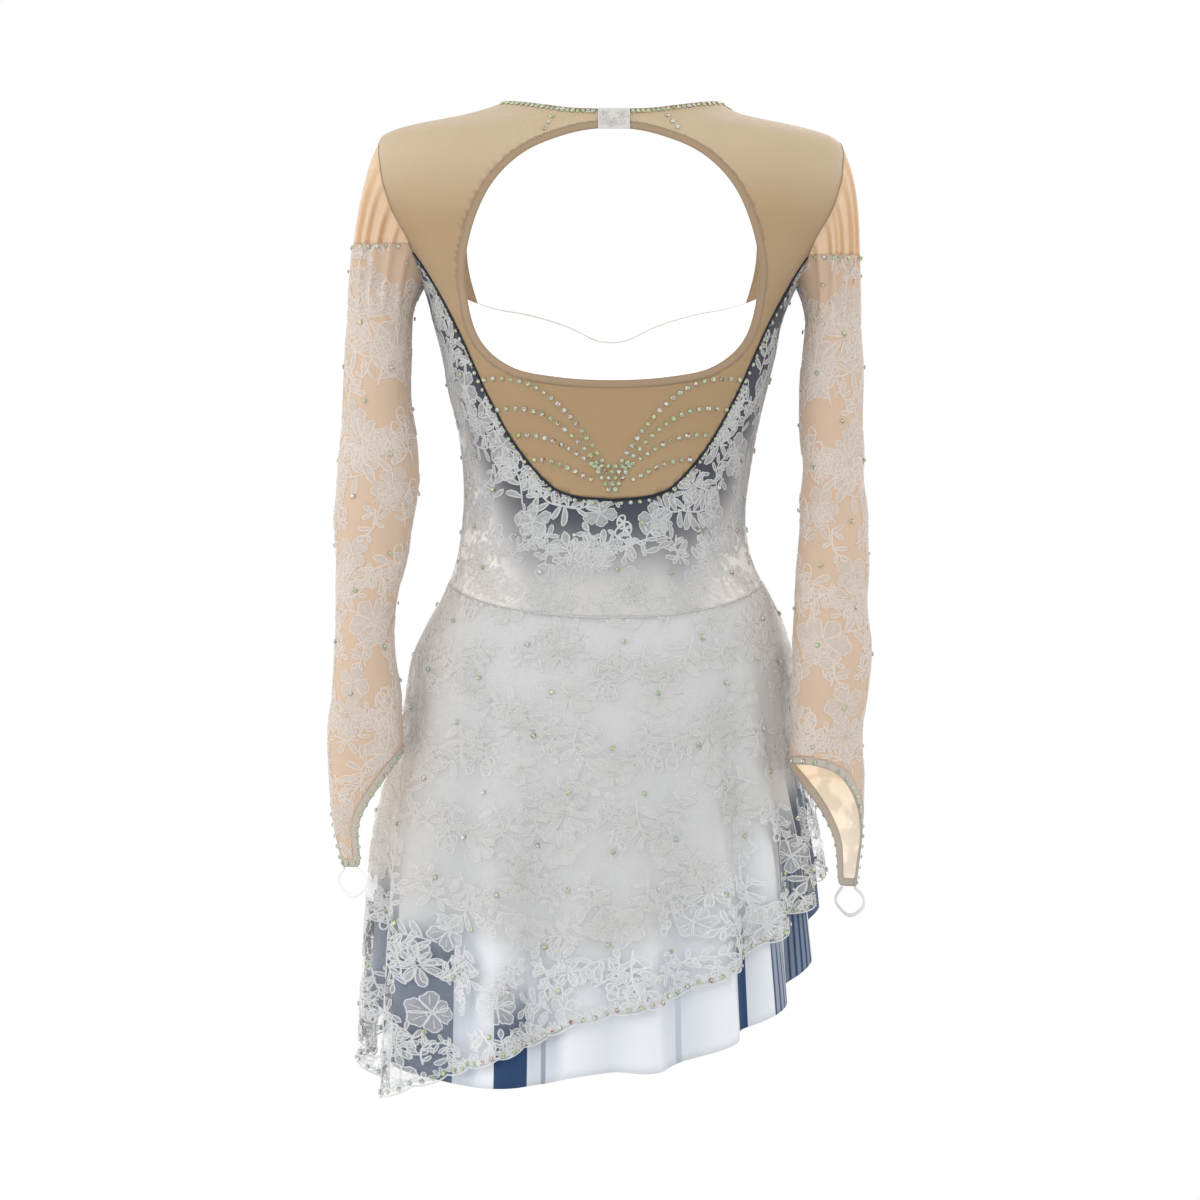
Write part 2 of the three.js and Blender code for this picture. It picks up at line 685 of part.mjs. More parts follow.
add(
  "bodice_back",
  wall({
    surface: bodySurface,
    us: BACK_TURNS,
    vs: BODY_ROWS,
    thick: WALL.lace,
    core: bodyCore,
    edges: [
      (p) => -laceTopBack(p) - half,
      (p) => -inArmhole(p),
      (p, turn) => p.z - waistHeight(turn) - half,
    ],
  }),
  WHITE_LACE,
);

add(
  "bodice_front",
  wall({
    surface: bodySurface,
    us: FRONT_TURNS,
    vs: BODY_ROWS,
    thick: WALL.lace,
    core: bodyCore,
    edges: [
      (p) => -laceTopFront(p) - half,
      (p) => -inArmhole(p),
      (p, turn) => p.z - waistHeight(turn) - half,
    ],
  }),
  WHITE_LACE,
);

add(
  "closure_tab",
  wall({
    surface: bodySurface,
    us: steps(-16, 14, 10),
    vs: steps(0.5, 8, 10),
    thick: WALL.tab,
    lift: (WALL.binding - WALL.mesh) / 2 + TOUCH_GAP + WALL.tab,
    core: bodyCore,
    edges: [
      (p) => p.x - TAB.from,
      (p) => TAB.to - p.x,
      (p) => TAB.top - p.z,
      (p) => p.z - TAB.bottom,
    ],
  }),
  WHITE_LACE,
);

// ---- skirts --------------------------------------------------------------------------------------
const LACE_ROWS = [0, 0.12, 0.28, 0.48, 0.72, 1];
const UNDER_ROWS = [0, 0.14, 0.32, 0.52, 0.75, 1];
const FOLD_COLUMNS = 54;
const laceInset = () => 0;
const underInset = (v) => UNDER_INSET.top + (UNDER_INSET.low - UNDER_INSET.top) * smooth(v * 2);

for (const [name, from, to] of [["back", -90, 90], ["front", 90, 270]]) {
  const us = steps(from + SEAM_DEG, to - SEAM_DEG, FOLD_COLUMNS);
  add(
    `skirt_${name}`,
    wall({
      surface: skirtSurface("lace", laceInset, half),
      us,
      vs: LACE_ROWS,
      thick: WALL.skirt,
      core: bodyCore,
    }),
    WHITE_LACE,
  );
  add(
    `underskirt_${name}`,
    wall({
      surface: skirtSurface("under", underInset, half + UNDER_DROP),
      us,
      vs: UNDER_ROWS,
      thick: WALL.skirt,
      core: bodyCore,
    }),
    UNDERSKIRT,
  );
}

// ---- sleeves -------------------------------------------------------------------------------------
const TURNS_FROM_POINT = [0, 16, 32, 38, 44, 58, 76, 96, 117, 138, 159];
const HEAD_ROWS = [0, 0.25, 0.5, 0.75, 1];
const TUBE_ROWS = [1.13, 1.26, 1.39, 1.52, 1.65, 1.76, 1.84, 1.92, 2];

for (const [name, sleeve] of Object.entries(SLEEVES)) {
  const core = (p) => {
    const z = Math.min(p.z, sleeve.rows[0].z);
    const [inner, outer, y] = ["inner", "outer", "y"].map((key) => along(sleeve.rows, "z", key, z));
    return new THREE.Vector3((sleeve.side * (inner + outer)) / 2, y, p.z - 20);
  };
  const turns = [
    ...TURNS_FROM_POINT,
    180,
    ...TURNS_FROM_POINT.slice(1).reverse().map((turn) => 360 - turn),
  ].map((turn) => turn + sleeve.point);
  const outline = cuffOutline(sleeve);
  const inCuff = (p, turn, v) => (v < 1.5 ? BIG : insideCuff(sleeve, outline, turn, p.z));
  const tube = { surface: sleeveSurface(sleeve), us: turns, closed: true, core };
  add(
    `sleeve_head_${name}`,
    wall({
      ...tube,
      vs: HEAD_ROWS,
      thick: WALL.mesh,
      edges: [(p) => p.z - sleeve.laceTop - half],
    }),
    NUDE_MESH,
  );
  add(
    `sleeve_${name}`,
    wall({
      ...tube,
      vs: [...HEAD_ROWS, ...TUBE_ROWS],
      thick: WALL.mesh,
      edges: [
        (p) => sleeve.laceTop - half - p.z,
        (p, turn, v) => inCuff(p, turn, v) - BINDING_WIDTH - SEAM_GAP,
      ],
    }),
    PEACH_LACE,
  );
  add(
    `cuff_binding_${name}`,
    wall({
      ...tube,
      vs: TUBE_ROWS.filter((v) => v > 1.6),
      thick: WALL.binding,
      lift: (WALL.binding - WALL.mesh) / 2,
      edges: [(p, turn, v) => BINDING_WIDTH - inCuff(p, turn, v), inCuff],
    }),
    BINDING,
  );
  const loopEnds = [-1, 1].map((way) =>
    sleeveRing(sleeve, sleeve.point + way * LOOP.turn, sleeve.long),
  );
  const middle = loopEnds[0].clone().lerp(loopEnds[1], 0.5);
  const across = loopEnds[1].clone().sub(loopEnds[0]);
  const reach = across.length() / 2;
  across.normalize();
  const inward = new THREE.Vector3(-sleeve.side * across.y, sleeve.side * across.x, 0);
  if (inward.dot(core(middle).sub(middle)) < 0) inward.negate();
  const path = new THREE.CatmullRomCurve3(
    LOOP.path.map(([sideways, down]) =>
      middle
        .clone()
        .addScaledVector(across, reach * sideways)
        .addScaledVector(inward, WALL.mesh / 2)
        .add(new THREE.Vector3(0, 0, -TOUCH_GAP - down)),
    ),
  );
  const section = new THREE.Shape(
    Array.from({ length: LOOP.sides }, (_, i) => {
      const a = (i * 2 * Math.PI) / LOOP.sides;
      return new THREE.Vector2(LOOP.radius * Math.cos(a), LOOP.radius * Math.sin(a));
    }),
  );
  add(
    `finger_loop_${name}`,
    new THREE.ExtrudeGeometry(section, { steps: LOOP.steps, extrudePath: path, bevelEnabled: false }),
    ELASTIC,
  );
}

export default dress;
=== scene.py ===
"""The visual model of a lace figure skating dress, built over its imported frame."""

import math

import bmesh
import bpy
import numpy as np
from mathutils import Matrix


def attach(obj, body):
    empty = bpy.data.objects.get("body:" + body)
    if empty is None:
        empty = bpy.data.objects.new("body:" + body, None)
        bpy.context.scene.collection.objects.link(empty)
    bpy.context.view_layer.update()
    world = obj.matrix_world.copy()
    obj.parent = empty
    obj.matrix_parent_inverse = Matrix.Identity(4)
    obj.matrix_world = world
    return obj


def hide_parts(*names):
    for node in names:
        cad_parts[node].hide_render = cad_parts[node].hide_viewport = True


bl_info = {
    "name": "Figure skating dress",
    "version": (1, 0, 0),
    "blender": (4, 5, 0),
    "location": "View3D > Sidebar > Dress",
    "description": "Builds a lace figure skating dress over its packed frame",
    "category": "Object",
}

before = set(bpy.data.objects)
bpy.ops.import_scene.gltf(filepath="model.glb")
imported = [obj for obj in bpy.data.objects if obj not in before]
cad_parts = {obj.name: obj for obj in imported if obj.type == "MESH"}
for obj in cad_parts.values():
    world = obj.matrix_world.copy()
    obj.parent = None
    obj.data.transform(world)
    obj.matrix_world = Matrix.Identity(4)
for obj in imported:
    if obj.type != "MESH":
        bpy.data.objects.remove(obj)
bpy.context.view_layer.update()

# ---- sizes in millimetres, as the solids have them ----
MM = 0.001
SNAP = 0.1
SEAM_GAP = 0.6
BINDING_WIDTH = 7.0
BIG = 1e9
# The cloths' flat patterns unroll the body and the sleeves from these radii, and a degree of the
# body's turn is about this far along its surface.
BODY_RADIUS, SLEEVE_RADIUS = 125, 31
DEGREE = 2.2
FLOOR = -1450.0
# How thick each cloth is, and how high the lace and the stones stand on it.
THICK = {"mesh": 0.6, "band": 1.6, "tab": 1.3, "bodice": 1.0, "skirt": 0.5, "cuff": 1.8}
LACE_LIFT = 0.12
STONE_LIFT = {"mesh": 0.4, "bodice": 1.0, "skirt": 0.8, "sleeve": 1.1}
# Distances between the stones of each row.
STONE_PITCH = {"neck": 4.7, "swag": 8.2, "top": 8.4, "hem": 11.4, "cuff": 9.6}


def table(columns, *rows):
    """Rows with named columns, as a dict of arrays."""
    return {name: np.array(values, float) for name, values in zip(columns.split(), zip(*rows))}


BODY = table(
    "z left right back front square",
    (31, 88, 88, 54, 50, 2.0),
    (25, 98, 97, 61, 56, 2.0),
    (18, 117, 108, 67, 60, 2.1),
    (12, 140, 124, 71, 64, 2.2),
    (6, 171, 152, 75, 68, 2.4),
    (0, 195, 178, 79, 72, 2.7),
    (-7, 209, 199, 83, 75, 2.9),
    (-16, 212, 209, 87, 79, 3.1),
    (-30, 213, 212, 91, 83, 3.3),
    (-50, 211, 211, 96, 89, 3.4),
    (-74, 204, 204, 99, 97, 3.2),
    (-100, 192, 191, 101, 105, 2.8),
    (-124, 180, 178, 101, 113, 2.6),
    (-148, 169, 165, 99, 120, 2.4),
    (-175, 162, 154, 97, 126, 2.3),
    (-205, 154, 148, 93, 129, 2.2),
    (-238, 148, 140, 87, 124, 2.2),
    (-272, 140, 132, 81, 112, 2.1),
    (-305, 135, 126, 76, 100, 2.1),
    (-340, 134, 121, 74, 94, 2.1),
    (-372, 137, 122, 79, 95, 2.1),
    (-400, 143, 130, 89, 99, 2.1),
    (-425, 154, 144, 99, 103, 2.1),
    (-452, 169, 157, 109, 107, 2.1),
)
BODY["index"] = np.arange(len(BODY["z"]), dtype=float)

SKIRT = table(
    "z left right back front",
    (-400, 143, 130, 89, 99),
    (-425, 154, 144, 99, 103),
    (-452, 169, 157, 109, 107),
    (-480, 182, 165, 118, 111),
    (-520, 189, 169, 126, 117),
    (-560, 196, 174, 132, 123),
    (-605, 212, 182, 139, 129),
    (-650, 221, 191, 145, 135),
    (-700, 226, 197, 151, 142),
    (-790, 232, 206, 161, 152),
    (-880, 236, 214, 170, 161),
)
SKIRT_SQUARE = 2.1
FOLD_TOP = -425.0
FOLD_FULL = -800.0
FOLD_SHARE = 0.85
FOLDS = table(
    "at half rise low lean",
    (-84, 11, 26, 0.0, 2),
    (-65, 9, 22, 0.15, -2.5),
    (-48, 9, 23, 0.0, -3),
    (-29, 11, 21, 0.2, -3.5),
    (-9, 10, 12, 0.45, -2),
    (9, 9, 11, 0.5, 1.5),
    (29, 12, 21, 0.2, -3.5),
    (57, 14, 28, 0.05, 2.5),
    (81, 11, 24, 0.0, -2),
    (102, 10, 22, 0.15, 2),
    (121, 9, 20, 0.05, -2),
    (138, 8, 17, 0.3, 1.5),
    (156, 10, 19, 0.15, 2.5),
    (175, 9, 14, 0.4, -1.5),
    (193, 9, 18, 0.2, -2.5),
    (212, 10, 22, 0.05, 2),
    (231, 9, 18, 0.25, -2),
    (248, 8, 21, 0.1, 2),
    (262, 7, 16, 0.3, -1),
)
HEMS = table(
    "at lace under",
    (-90, -667, -694),
    (-70, -700, -736),
    (-58, -712, -774),
    (-50, -726, -788),
    (-42, -740, -808),
    (-32, -758, -820),
    (-19, -779, -840),
    (-8, -794, -849),
    (0, -799, -848),
    (17, -822, -859),
    (30, -841, -863),
    (45, -858, -860),
    (57, -875, -845),
    (68, -869, -825),
    (80, -848, -785),
    (90, -841, -775),
    (120, -815, -785),
    (150, -780, -800),
    (180, -745, -795),
    (210, -712, -762),
    (240, -685, -730),
    (270, -667, -694),
)
WAIST_SIDE, WAIST_DIP_BACK, WAIST_DIP_FRONT = -410.0, 33.0, 22.0

LACE_TOP_BACK = table(
    "x z",
    (0, -337.5),
    (34, -334),
    (55, -325),
    (87, -288),
    (114, -239),
    (143, -175),
    (172, -124),
    (200, -88),
)
LACE_TOP_FRONT = table(
    "x z",
    (0, -190),
    (14, -188),
    (42, -175),
    (76, -165),
    (110, -159),
    (142, -147),
    (172, -127),
    (200, -100),
)
KEYHOLE = (
    (0, -3),
    (38, -8),
    (80, -26),
    (110, -57),
    (128, -101),
    (132, -143),
    (121, -190),
    (92, -217),
    (50, -227),
    (0, -230),
)
NECK_BACK = table("x z", (0, 14.5), (35, 15.5), (60, 19), (85, 23), (110, 26))
NECK_FRONT = table(
    "z x", (40, 84), (25, 98), (12, 115), (-20, 127), (-70, 133), (-120, 133), (-175, 118)
)
ARMHOLE = (
    (0, -12),
    (24, -18),
    (40, -38),
    (46, -68),
    (44, -98),
    (32, -126),
    (14, -141),
    (0, -144),
    (-15, -141),
    (-34, -126),
    (-45, -98),
    (-46, -68),
    (-39, -38),
    (-23, -18),
)
ARMHOLE_MIDDLE = (0.0, -80.0)
TAB = {"low": -16.2, "high": 12.6, "top": 14.0, "bottom": -4.5}
SLIT = (TAB["low"] + TAB["high"]) / 2

SLEEVE_COLUMNS = "z inner outer depth y"
SLEEVE_ROWS = {
    "left": table(
        SLEEVE_COLUMNS,
        (-175, 181, 240, 43, 2),
        (-212, 182, 243, 43, 6),
        (-250, 181, 245, 42, 11),
        (-302, 175, 247, 42, 20),
        (-356, 181, 250, 38, 30),
        (-392, 186, 249, 36, 38),
        (-428, 193, 250, 34, 46),
        (-464, 196, 250, 33, 54),
        (-518, 191, 252, 32, 62),
        (-554, 189, 255, 31, 66),
        (-590, 192, 254, 29, 69),
        (-625, 202, 252, 25, 71),
        (-668, 201, 243, 21, 72),
    ),
    "right": table(
        SLEEVE_COLUMNS,
        (-175, 176, 226, 43, 2),
        (-212, 172, 227, 43, 6),
        (-250, 171, 227, 42, 11),
        (-302, 173, 229, 41, 20),
        (-356, 169, 231, 38, 33),
        (-392, 167, 231, 37, 43),
        (-428, 165, 229, 36, 53),
        (-464, 164, 233, 35, 63),
        (-500, 163, 233, 34, 71),
        (-536, 160, 226, 32, 77),
        (-590, 159, 225, 30, 80),
        (-640, 172, 224, 26, 81),
        (-686, 177, 220, 22, 82),
    ),
}
SLEEVES = {
    "left": {"side": 1, "point": 44, "short": -562, "long": -667, "lace_top": -105},
    "right": {"side": -1, "point": -38, "short": -575, "long": -685, "lace_top": -115},
}
HAND_POINT = (
    (0, 1),
    (20, 1),
    (33, 0.985),
    (38, 0.92),
    (41, 0.78),
    (45, 0.66),
    (54, 0.53),
    (69, 0.36),
    (90, 0.19),
    (114, 0.07),
    (146, 0.01),
    (180, 0),
)
CUFF_REACH = 27.0
LOOP_TURN = 25
LOOP_PATH = ((-1, 0.6), (-2, 10), (-1.6, 18), (0.2, 26), (2.2, 19), (2.4, 9), (1, 0.6))

# The blue inside of the underskirt's pleats: angles from and to, how strong it is, and the height
# that it starts at. Stripes marks a pleat whose sheer layers show as fine lines.
BLUE_PLEATS = table(
    "low high strong top stripes",
    (-90, -72, 0.95, -560, 0),
    (-67, -59, 0.95, -600, 1),
    (-57.5, -48, 0.8, -700, 1),
    (-41.2, -38.2, 1.0, -700, 0),
    (-19.6, -17.8, 0.26, -760, 0),
    (16.4, 17.6, 0.5, -790, 0),
    (20.6, 27.6, 1.0, -760, 0),
    (44, 68, 0.85, -700, 0),
    (68, 82, 0.7, -640, 0),
    (96, 103, 0.9, -640, 0),
    (127, 133, 0.8, -700, 0),
    (162, 168, 0.9, -690, 0),
    (200, 207, 0.8, -660, 0),
    (236, 244, 0.85, -620, 0),
)


# ---- maths ----
def hermite(t, a, b, slope_a, slope_b):
    """A smooth value between two, from the slopes at both."""
    return (
        (2 * t**3 - 3 * t**2 + 1) * a
        + (t**3 - 2 * t**2 + t) * slope_a
        + (3 * t**2 - 2 * t**3) * b
        + (t**3 - t**2) * slope_b
    )


def along(rows, by, key, at):
    """Smooth value of a column of a table where another column has given values."""
    x, y = rows[by], rows[key]
    if x[-1] < x[0]:
        x, y = x[::-1], y[::-1]
    at = np.clip(np.asarray(at, float), x[0], x[-1])
    slope = np.empty_like(y)
    slope[1:-1] = (y[2:] - y[:-2]) / (x[2:] - x[:-2])
    slope[0] = (y[1] - y[0]) / (x[1] - x[0])
    slope[-1] = (y[-1] - y[-2]) / (x[-1] - x[-2])
    i = np.clip(np.searchsorted(x, at, side="right") - 1, 0, len(x) - 2)
    span = x[i + 1] - x[i]
    t = (at - x[i]) / span
    return hermite(t, y[i], y[i + 1], span * slope[i], span * slope[i + 1])


def columns(rows, by, at, keys):
    """Several columns of a table as along gives them."""
    return [along(rows, by, key, at) for key in keys.split()]


def smooth(t):
    """Eases from 0 to 1."""
    t = np.clip(t, 0, 1)
    return t * t * (3 - 2 * t)


def spline(points, count, closed=False):
    """A smooth line through points, with the same number of steps between each two."""
    p = np.asarray(points, float)
    n = len(p)
    spans = n if closed else n - 1
    t = np.linspace(0, spans, count, endpoint=not closed)
    i = np.minimum(t.astype(int), spans - 1)
    u = (t - i)[:, None]

    def at(k):
        return p[k % n] if closed else p[np.clip(k, 0, n - 1)]

    a, b, c, d = at(i - 1), at(i), at(i + 1), at(i + 2)
    m, k = (c - a) / 2, (d - b) / 2
    if not closed:
        m[i == 0] = (c - b)[i == 0]
        k[i == spans - 1] = (c - b)[i == spans - 1]
    return hermite(u, b, c, m, k)


def inside(outline, a, b):
    """Signed distance to a closed outline: positive inside it."""
    p = np.column_stack([np.ravel(a), np.ravel(b)])
    near = np.full(len(p), BIG)
    odd = np.zeros(len(p), bool)
    for start, end in zip(outline, np.roll(outline, -1, axis=0)):
        edge = end - start
        t = np.clip(((p - start) @ edge) / (edge @ edge), 0, 1)
        near = np.minimum(near, np.hypot(*(p - start - t[:, None] * edge).T))
        if start[1] != end[1]:
            crosses = (start[1] > p[:, 1]) != (end[1] > p[:, 1])
            x = start[0] + (p[:, 1] - start[1]) / (end[1] - start[1]) * edge[0]
            odd ^= crosses & (p[:, 0] < x)
    return np.where(odd, near, -near).reshape(np.shape(a))


def above(rows, x, z):
    """Distance above a line that is a height over the distance from the middle."""
    at = np.abs(x)
    low = np.maximum(at - 1, 0)
    slope = (along(rows, "x", "z", at + 1) - along(rows, "x", "z", low)) / 2
    return (z - along(rows, "x", "z", at)) / np.hypot(1, slope)


def xyz(*parts):
    """Columns of points from arrays or numbers."""
    return np.stack(np.broadcast_arrays(*parts), axis=-1).astype(float)


def crest(away):
    """A round crest: 1 in its middle and 0 from a distance of 1 on."""
    return np.where(away < 1, (1 + np.cos(np.pi * np.minimum(away, 1))) / 2, 0)


def wrapped(turn):
    """An angle brought to between -180 and 180."""
    return (turn + 180) % 360 - 180


def unit(vectors):
    """Vectors brought to length 1."""
    return vectors / np.maximum(np.linalg.norm(vectors, axis=-1, keepdims=True), 1e-12)


def left_of(ahead):
    """Flat directions turned a quarter to the left."""
    return np.stack([-ahead[..., 1], ahead[..., 0]], axis=-1)


def ahead_of(points, closed=False):
    """The direction of a line at each of its points."""
    if closed:
        return unit(np.roll(points, -1, axis=0) - np.roll(points, 1, axis=0))
    return unit(np.gradient(points, axis=0))


def lengths(points):
    """Distance along a line of points, at each of them."""
    steps = np.linalg.norm(np.diff(points, axis=0), axis=1)
    return np.concatenate([[0], np.cumsum(steps)])


def bezier(t, a, b, c, d):
    """Points of a curve between two ends, with two handles."""
    return (1 - t) ** 3 * a + 3 * (1 - t) ** 2 * t * b + 3 * (1 - t) * t**2 * c + t**3 * d


def halved(low, high, steps, goes_on):
    """Narrows ranges to the place where a test stops holding."""
    for _ in range(steps):
        middle = (low + high) / 2
        further = goes_on(middle)
        low, high = np.where(further, middle, low), np.where(further, high, middle)
    return low, high


# ---- surfaces ----
def ring(turn, left, right, back, front, square, inset, z):
    """Points of a superellipse ring: 0 is the centre back and 90 the wearer's left."""
    s, c = np.sin(np.radians(turn)), np.cos(np.radians(turn))
    reach = (np.abs(s) ** square + np.abs(c) ** square) ** (-1 / square)
    width = np.where(s > 0, left, right) - inset
    depth = np.where(c > 0, back, front) - inset
    return xyz(width * reach * s, depth * reach * c, z)


_dense = np.linspace(0, len(BODY["z"]) - 1, 4000)
_dense_z = along(BODY, "index", "z", _dense)


def row_at(z):
    """The body table's row number at a height."""
    return np.interp(-np.asarray(z, float), -_dense_z, _dense)


def body(turn, v):
    """The body's surface: v counts the rows of its table."""
    parts = columns(BODY, "index", v, "left right back front square")
    z = along(BODY, "index", "z", v)
    return ring(turn, *parts, body_creases(turn, z), z)


# Soft creases of the bodice and yoke: from one point to another (angle and height), how wide
# and how high.
CREASES = (
    ((-62, -352), (-8, -378), 7, 0.9),
    ((-70, -372), (-25, -392), 6, 1.1),
    ((75, -345), (30, -372), 7, 1.0),
    ((66, -378), (14, -398), 6, 0.9),
    ((80, -300), (48, -330), 8, 0.7),
    ((-78, -296), (-50, -318), 8, 0.7),
    ((30, -392), (-20, -404), 5, 0.8),
    ((120, -350), (165, -378), 8, 0.8),
    ((238, -345), (200, -372), 8, 0.8),
    ((130, -240), (170, -262), 9, 0.6),
    ((235, -236), (196, -258), 9, 0.6),
    ((68, -40), (58, -150), 5, 0.7),
    ((-68, -44), (-58, -150), 5, 0.7),
)


def body_creases(turn, z):
    """How far creases stand in from the body's smooth surface, negative outwards."""
    total = np.zeros(np.broadcast(turn, z).shape)
    for (t0, z0), (t1, z1), width, high in CREASES:
        middle = (t0 + t1) / 2
        x, x0 = (wrapped(np.asarray(turn) - middle) + middle) * DEGREE, t0 * DEGREE
        ex, ez = t1 * DEGREE - x0, z1 - z0
        t = np.clip(((x - x0) * ex + (z - z0) * ez) / (ex * ex + ez * ez), 0, 1)
        away = np.hypot(x - x0 - t * ex, z - z0 - t * ez)
        swell = np.sin(np.pi * np.clip(t, 0.04, 0.96)) ** 0.5
        total = total - high * swell * np.exp(-((away / width) ** 2))
        total = total + 0.6 * high * swell * np.exp(-(((away - width * 1.5) / width) ** 2))
    return total


def waist(turn):
    """Height of the waist seam."""
    c = np.cos(np.radians(turn))
    dip = np.where(c > 0, WAIST_DIP_BACK, WAIST_DIP_FRONT)
    return WAIST_SIDE - dip * np.abs(c) ** 1.5


def fold_at(turn, z):
    """The skirt's folds: how far back from the furthest reach, and the crest's lean."""
    share = (FOLD_TOP - z) / (FOLD_TOP - FOLD_FULL)
    raised = deepest = lean = 0
    for at, half, rise, low, leans in zip(*FOLDS.values()):
        away = np.abs(wrapped(turn - at)) / half
        grow = smooth((share - low) / (1.15 - low)) ** 0.8
        deepest = np.maximum(deepest, rise * grow * smooth((2.4 - away) / 1.2))
        raised = raised + rise * grow * crest(away)
        lean = lean + leans * grow * crest(away)
    return FOLD_SHARE * np.maximum(deepest - raised, 0), lean


def ripple(turn, z):
    """Fine hanging ripples between the skirt's folds, in millimetres."""
    share = smooth((FOLD_TOP - z) / 260)
    at = np.radians(turn)
    return 0.55 * share * (np.sin(at * 31 + 1.3 * np.sin(z / 70)) + 0.6 * np.sin(at * 53 + 2))


def hem(column, turn):
    """Height of a skirt's hem at an angle."""
    return along(HEMS, "at", column, (np.asarray(turn, float) + 450) % 360 - 90)


def skirt_at(turn, z, inset):
    """A point of a skirt at an angle and a height."""
    parts = columns(SKIRT, "z", z, "left right back front")
    back, lean = fold_at(turn, z)
    return ring(turn + lean, *parts, SKIRT_SQUARE, inset + back + ripple(turn, z), z)


ARMHOLE_OUTLINE = spline(ARMHOLE, 96, closed=True)


def armhole_starts(side, turns, shrink=SEAM_GAP):
    """The armhole's points at angles of the sleeve: 0 is its top and 90 its back."""
    d = np.column_stack([np.sin(np.radians(turns)), np.cos(np.radians(turns))])

    def spot(reach):
        return [ARMHOLE_MIDDLE[k] + d[:, k] * reach for k in (0, 1)]

    def within(reach):
        return inside(ARMHOLE_OUTLINE, *spot(reach)) > shrink

    y, z = spot(halved(np.zeros(len(turns)), np.full(len(turns), 120.0), 26, within)[0])
    v = row_at(z)

    def far(turn):
        return np.abs(body(side * turn, v)[:, 1]) > np.abs(y)

    a, b = halved(np.where(y > 0, 45.0, 135.0), np.full(len(turns), 90.0), 26, far)
    return xyz(body(side * (a + b) / 2, v)[:, 0], y, z)


def cuff_outline(sleeve):
    """The part of the sleeve above the cuff's edge, laid flat."""
    near = [(-turn, drop) for turn, drop in reversed(HAND_POINT[1:8])]
    far = [(360 - turn, drop) for turn, drop in reversed(HAND_POINT[8:-1])]
    rows = np.array([*near, *HAND_POINT, *far])
    fall = sleeve["short"] + (sleeve["long"] - sleeve["short"]) * rows[:, 1]
    edge = spline(np.column_stack([np.radians(rows[:, 0]) * CUFF_REACH, fall]), 120)
    return np.vstack([edge, [edge[-1, 0], 0], [edge[0, 0], 0]])


# Heights of a sleeve's creases at the elbow and the wrist, and how far they reach.
CREASED = ((-330, 70), (-520, 60))


def sleeve_wrinkles(name, turn, z):
    """Small cross creases of a sleeve in millimetres, strongest at the elbow and the wrist."""
    phase = 0.0 if name == "left" else 1.7
    at = np.radians(turn)
    elbow, wrist = (np.exp(-(((z - middle) / reach) ** 2)) for middle, reach in CREASED)
    wave = np.sin(z / 9.5 + 1.6 * np.cos(at - 0.6 + phase))
    wave = wave * (0.6 + 0.4 * np.sin(2 * at + phase))
    slow = np.sin(z / 31 + 2.2 * np.sin(at + phase))
    return (0.9 * elbow + 0.8 * wrist) * wave + 1.1 * slow * smooth((-175 - z) / 60)


def sleeve_ring(name, turn, z):
    """A point of a sleeve's tube."""
    inner, outer, depth, y = columns(SLEEVE_ROWS[name], "z", z, "inner outer depth y")
    c, s = np.cos(np.radians(turn)), np.sin(np.radians(turn))
    out = sleeve_wrinkles(name, turn, z)
    x = (inner + outer) / 2 + ((outer - inner) / 2 + out) * c
    return xyz(SLEEVES[name]["side"] * x, y + (depth + out) * s, z)


# Hanging folds of a sleeve head: the angle, half width and height of each.
HEAD_COLUMNS = "at half high"
HEAD_FOLDS = {
    "left": table(
        HEAD_COLUMNS,
        (34, 8, 3.2),
        (55, 7, 4.2),
        (76, 8, 4.6),
        (98, 7, 3.8),
        (124, 9, 2.6),
        (-40, 11, 3.0),
        (-80, 11, 3.2),
    ),
    "right": table(
        HEAD_COLUMNS,
        (30, 8, 3.2),
        (52, 7, 4.4),
        (72, 8, 4.2),
        (94, 8, 4.2),
        (118, 9, 2.6),
        (-44, 11, 3.0),
        (-84, 11, 3.2),
    ),
}


def sleeve(name):
    """A sleeve's surface: v from 0 to 1 is its head, from 1 to 2 the tube down to the point."""
    side = SLEEVES[name]["side"]
    top = SLEEVE_ROWS[name]["z"][0]
    dense = np.arange(0, 361, 1.0)
    starts = armhole_starts(side, dense)

    def surface(turn, v):
        turn, v = np.broadcast_arrays(np.asarray(turn, float), np.asarray(v, float))
        at = turn % 360
        a = np.stack([np.interp(at, dense, starts[:, k]) for k in range(3)], axis=-1)
        d = sleeve_ring(name, turn, np.full(turn.shape, top))
        reach = np.linalg.norm(d - a, axis=-1)
        b = a + xyz(side * 0.09 * reach, 0 * reach, -0.128 * reach)
        c = d + xyz(0 * reach, 0 * reach, 0.36 * reach)
        t = np.clip(v, 0, 1)
        lift = sum(
            high * crest(np.abs(wrapped(turn - at)) / half)
            for at, half, high in zip(*HEAD_FOLDS[name].values())
        )
        lift = lift * np.sin(np.pi * t) ** 0.7
        out = xyz(side * np.cos(np.radians(turn)), np.sin(np.radians(turn)), 0 * turn)
        head = bezier(t[..., None], a, b, c, d) + out * lift[..., None]
        z = top + (SLEEVES[name]["long"] - 1 - top) * np.clip(v - 1, 0, 1)
        return np.where((v > 1)[..., None], sleeve_ring(name, turn, z), head)

    return surface


def normals(surface, u, v, core):
    """Unit normals of a surface that point away from its core."""
    du = surface(u + 0.05, v) - surface(u - 0.05, v)
    dv = surface(u, v + 0.002) - surface(u, v - 0.002)
    n = unit(np.cross(du, dv))
    p = surface(u, v)
    return n * np.sign(np.sum(n * (p - core(p))))


def body_core(p):
    """Points in the middle of the body, to tell outward from inward."""
    return xyz(0 * p[..., 0], 0 * p[..., 0], np.minimum(p[..., 2], -40))


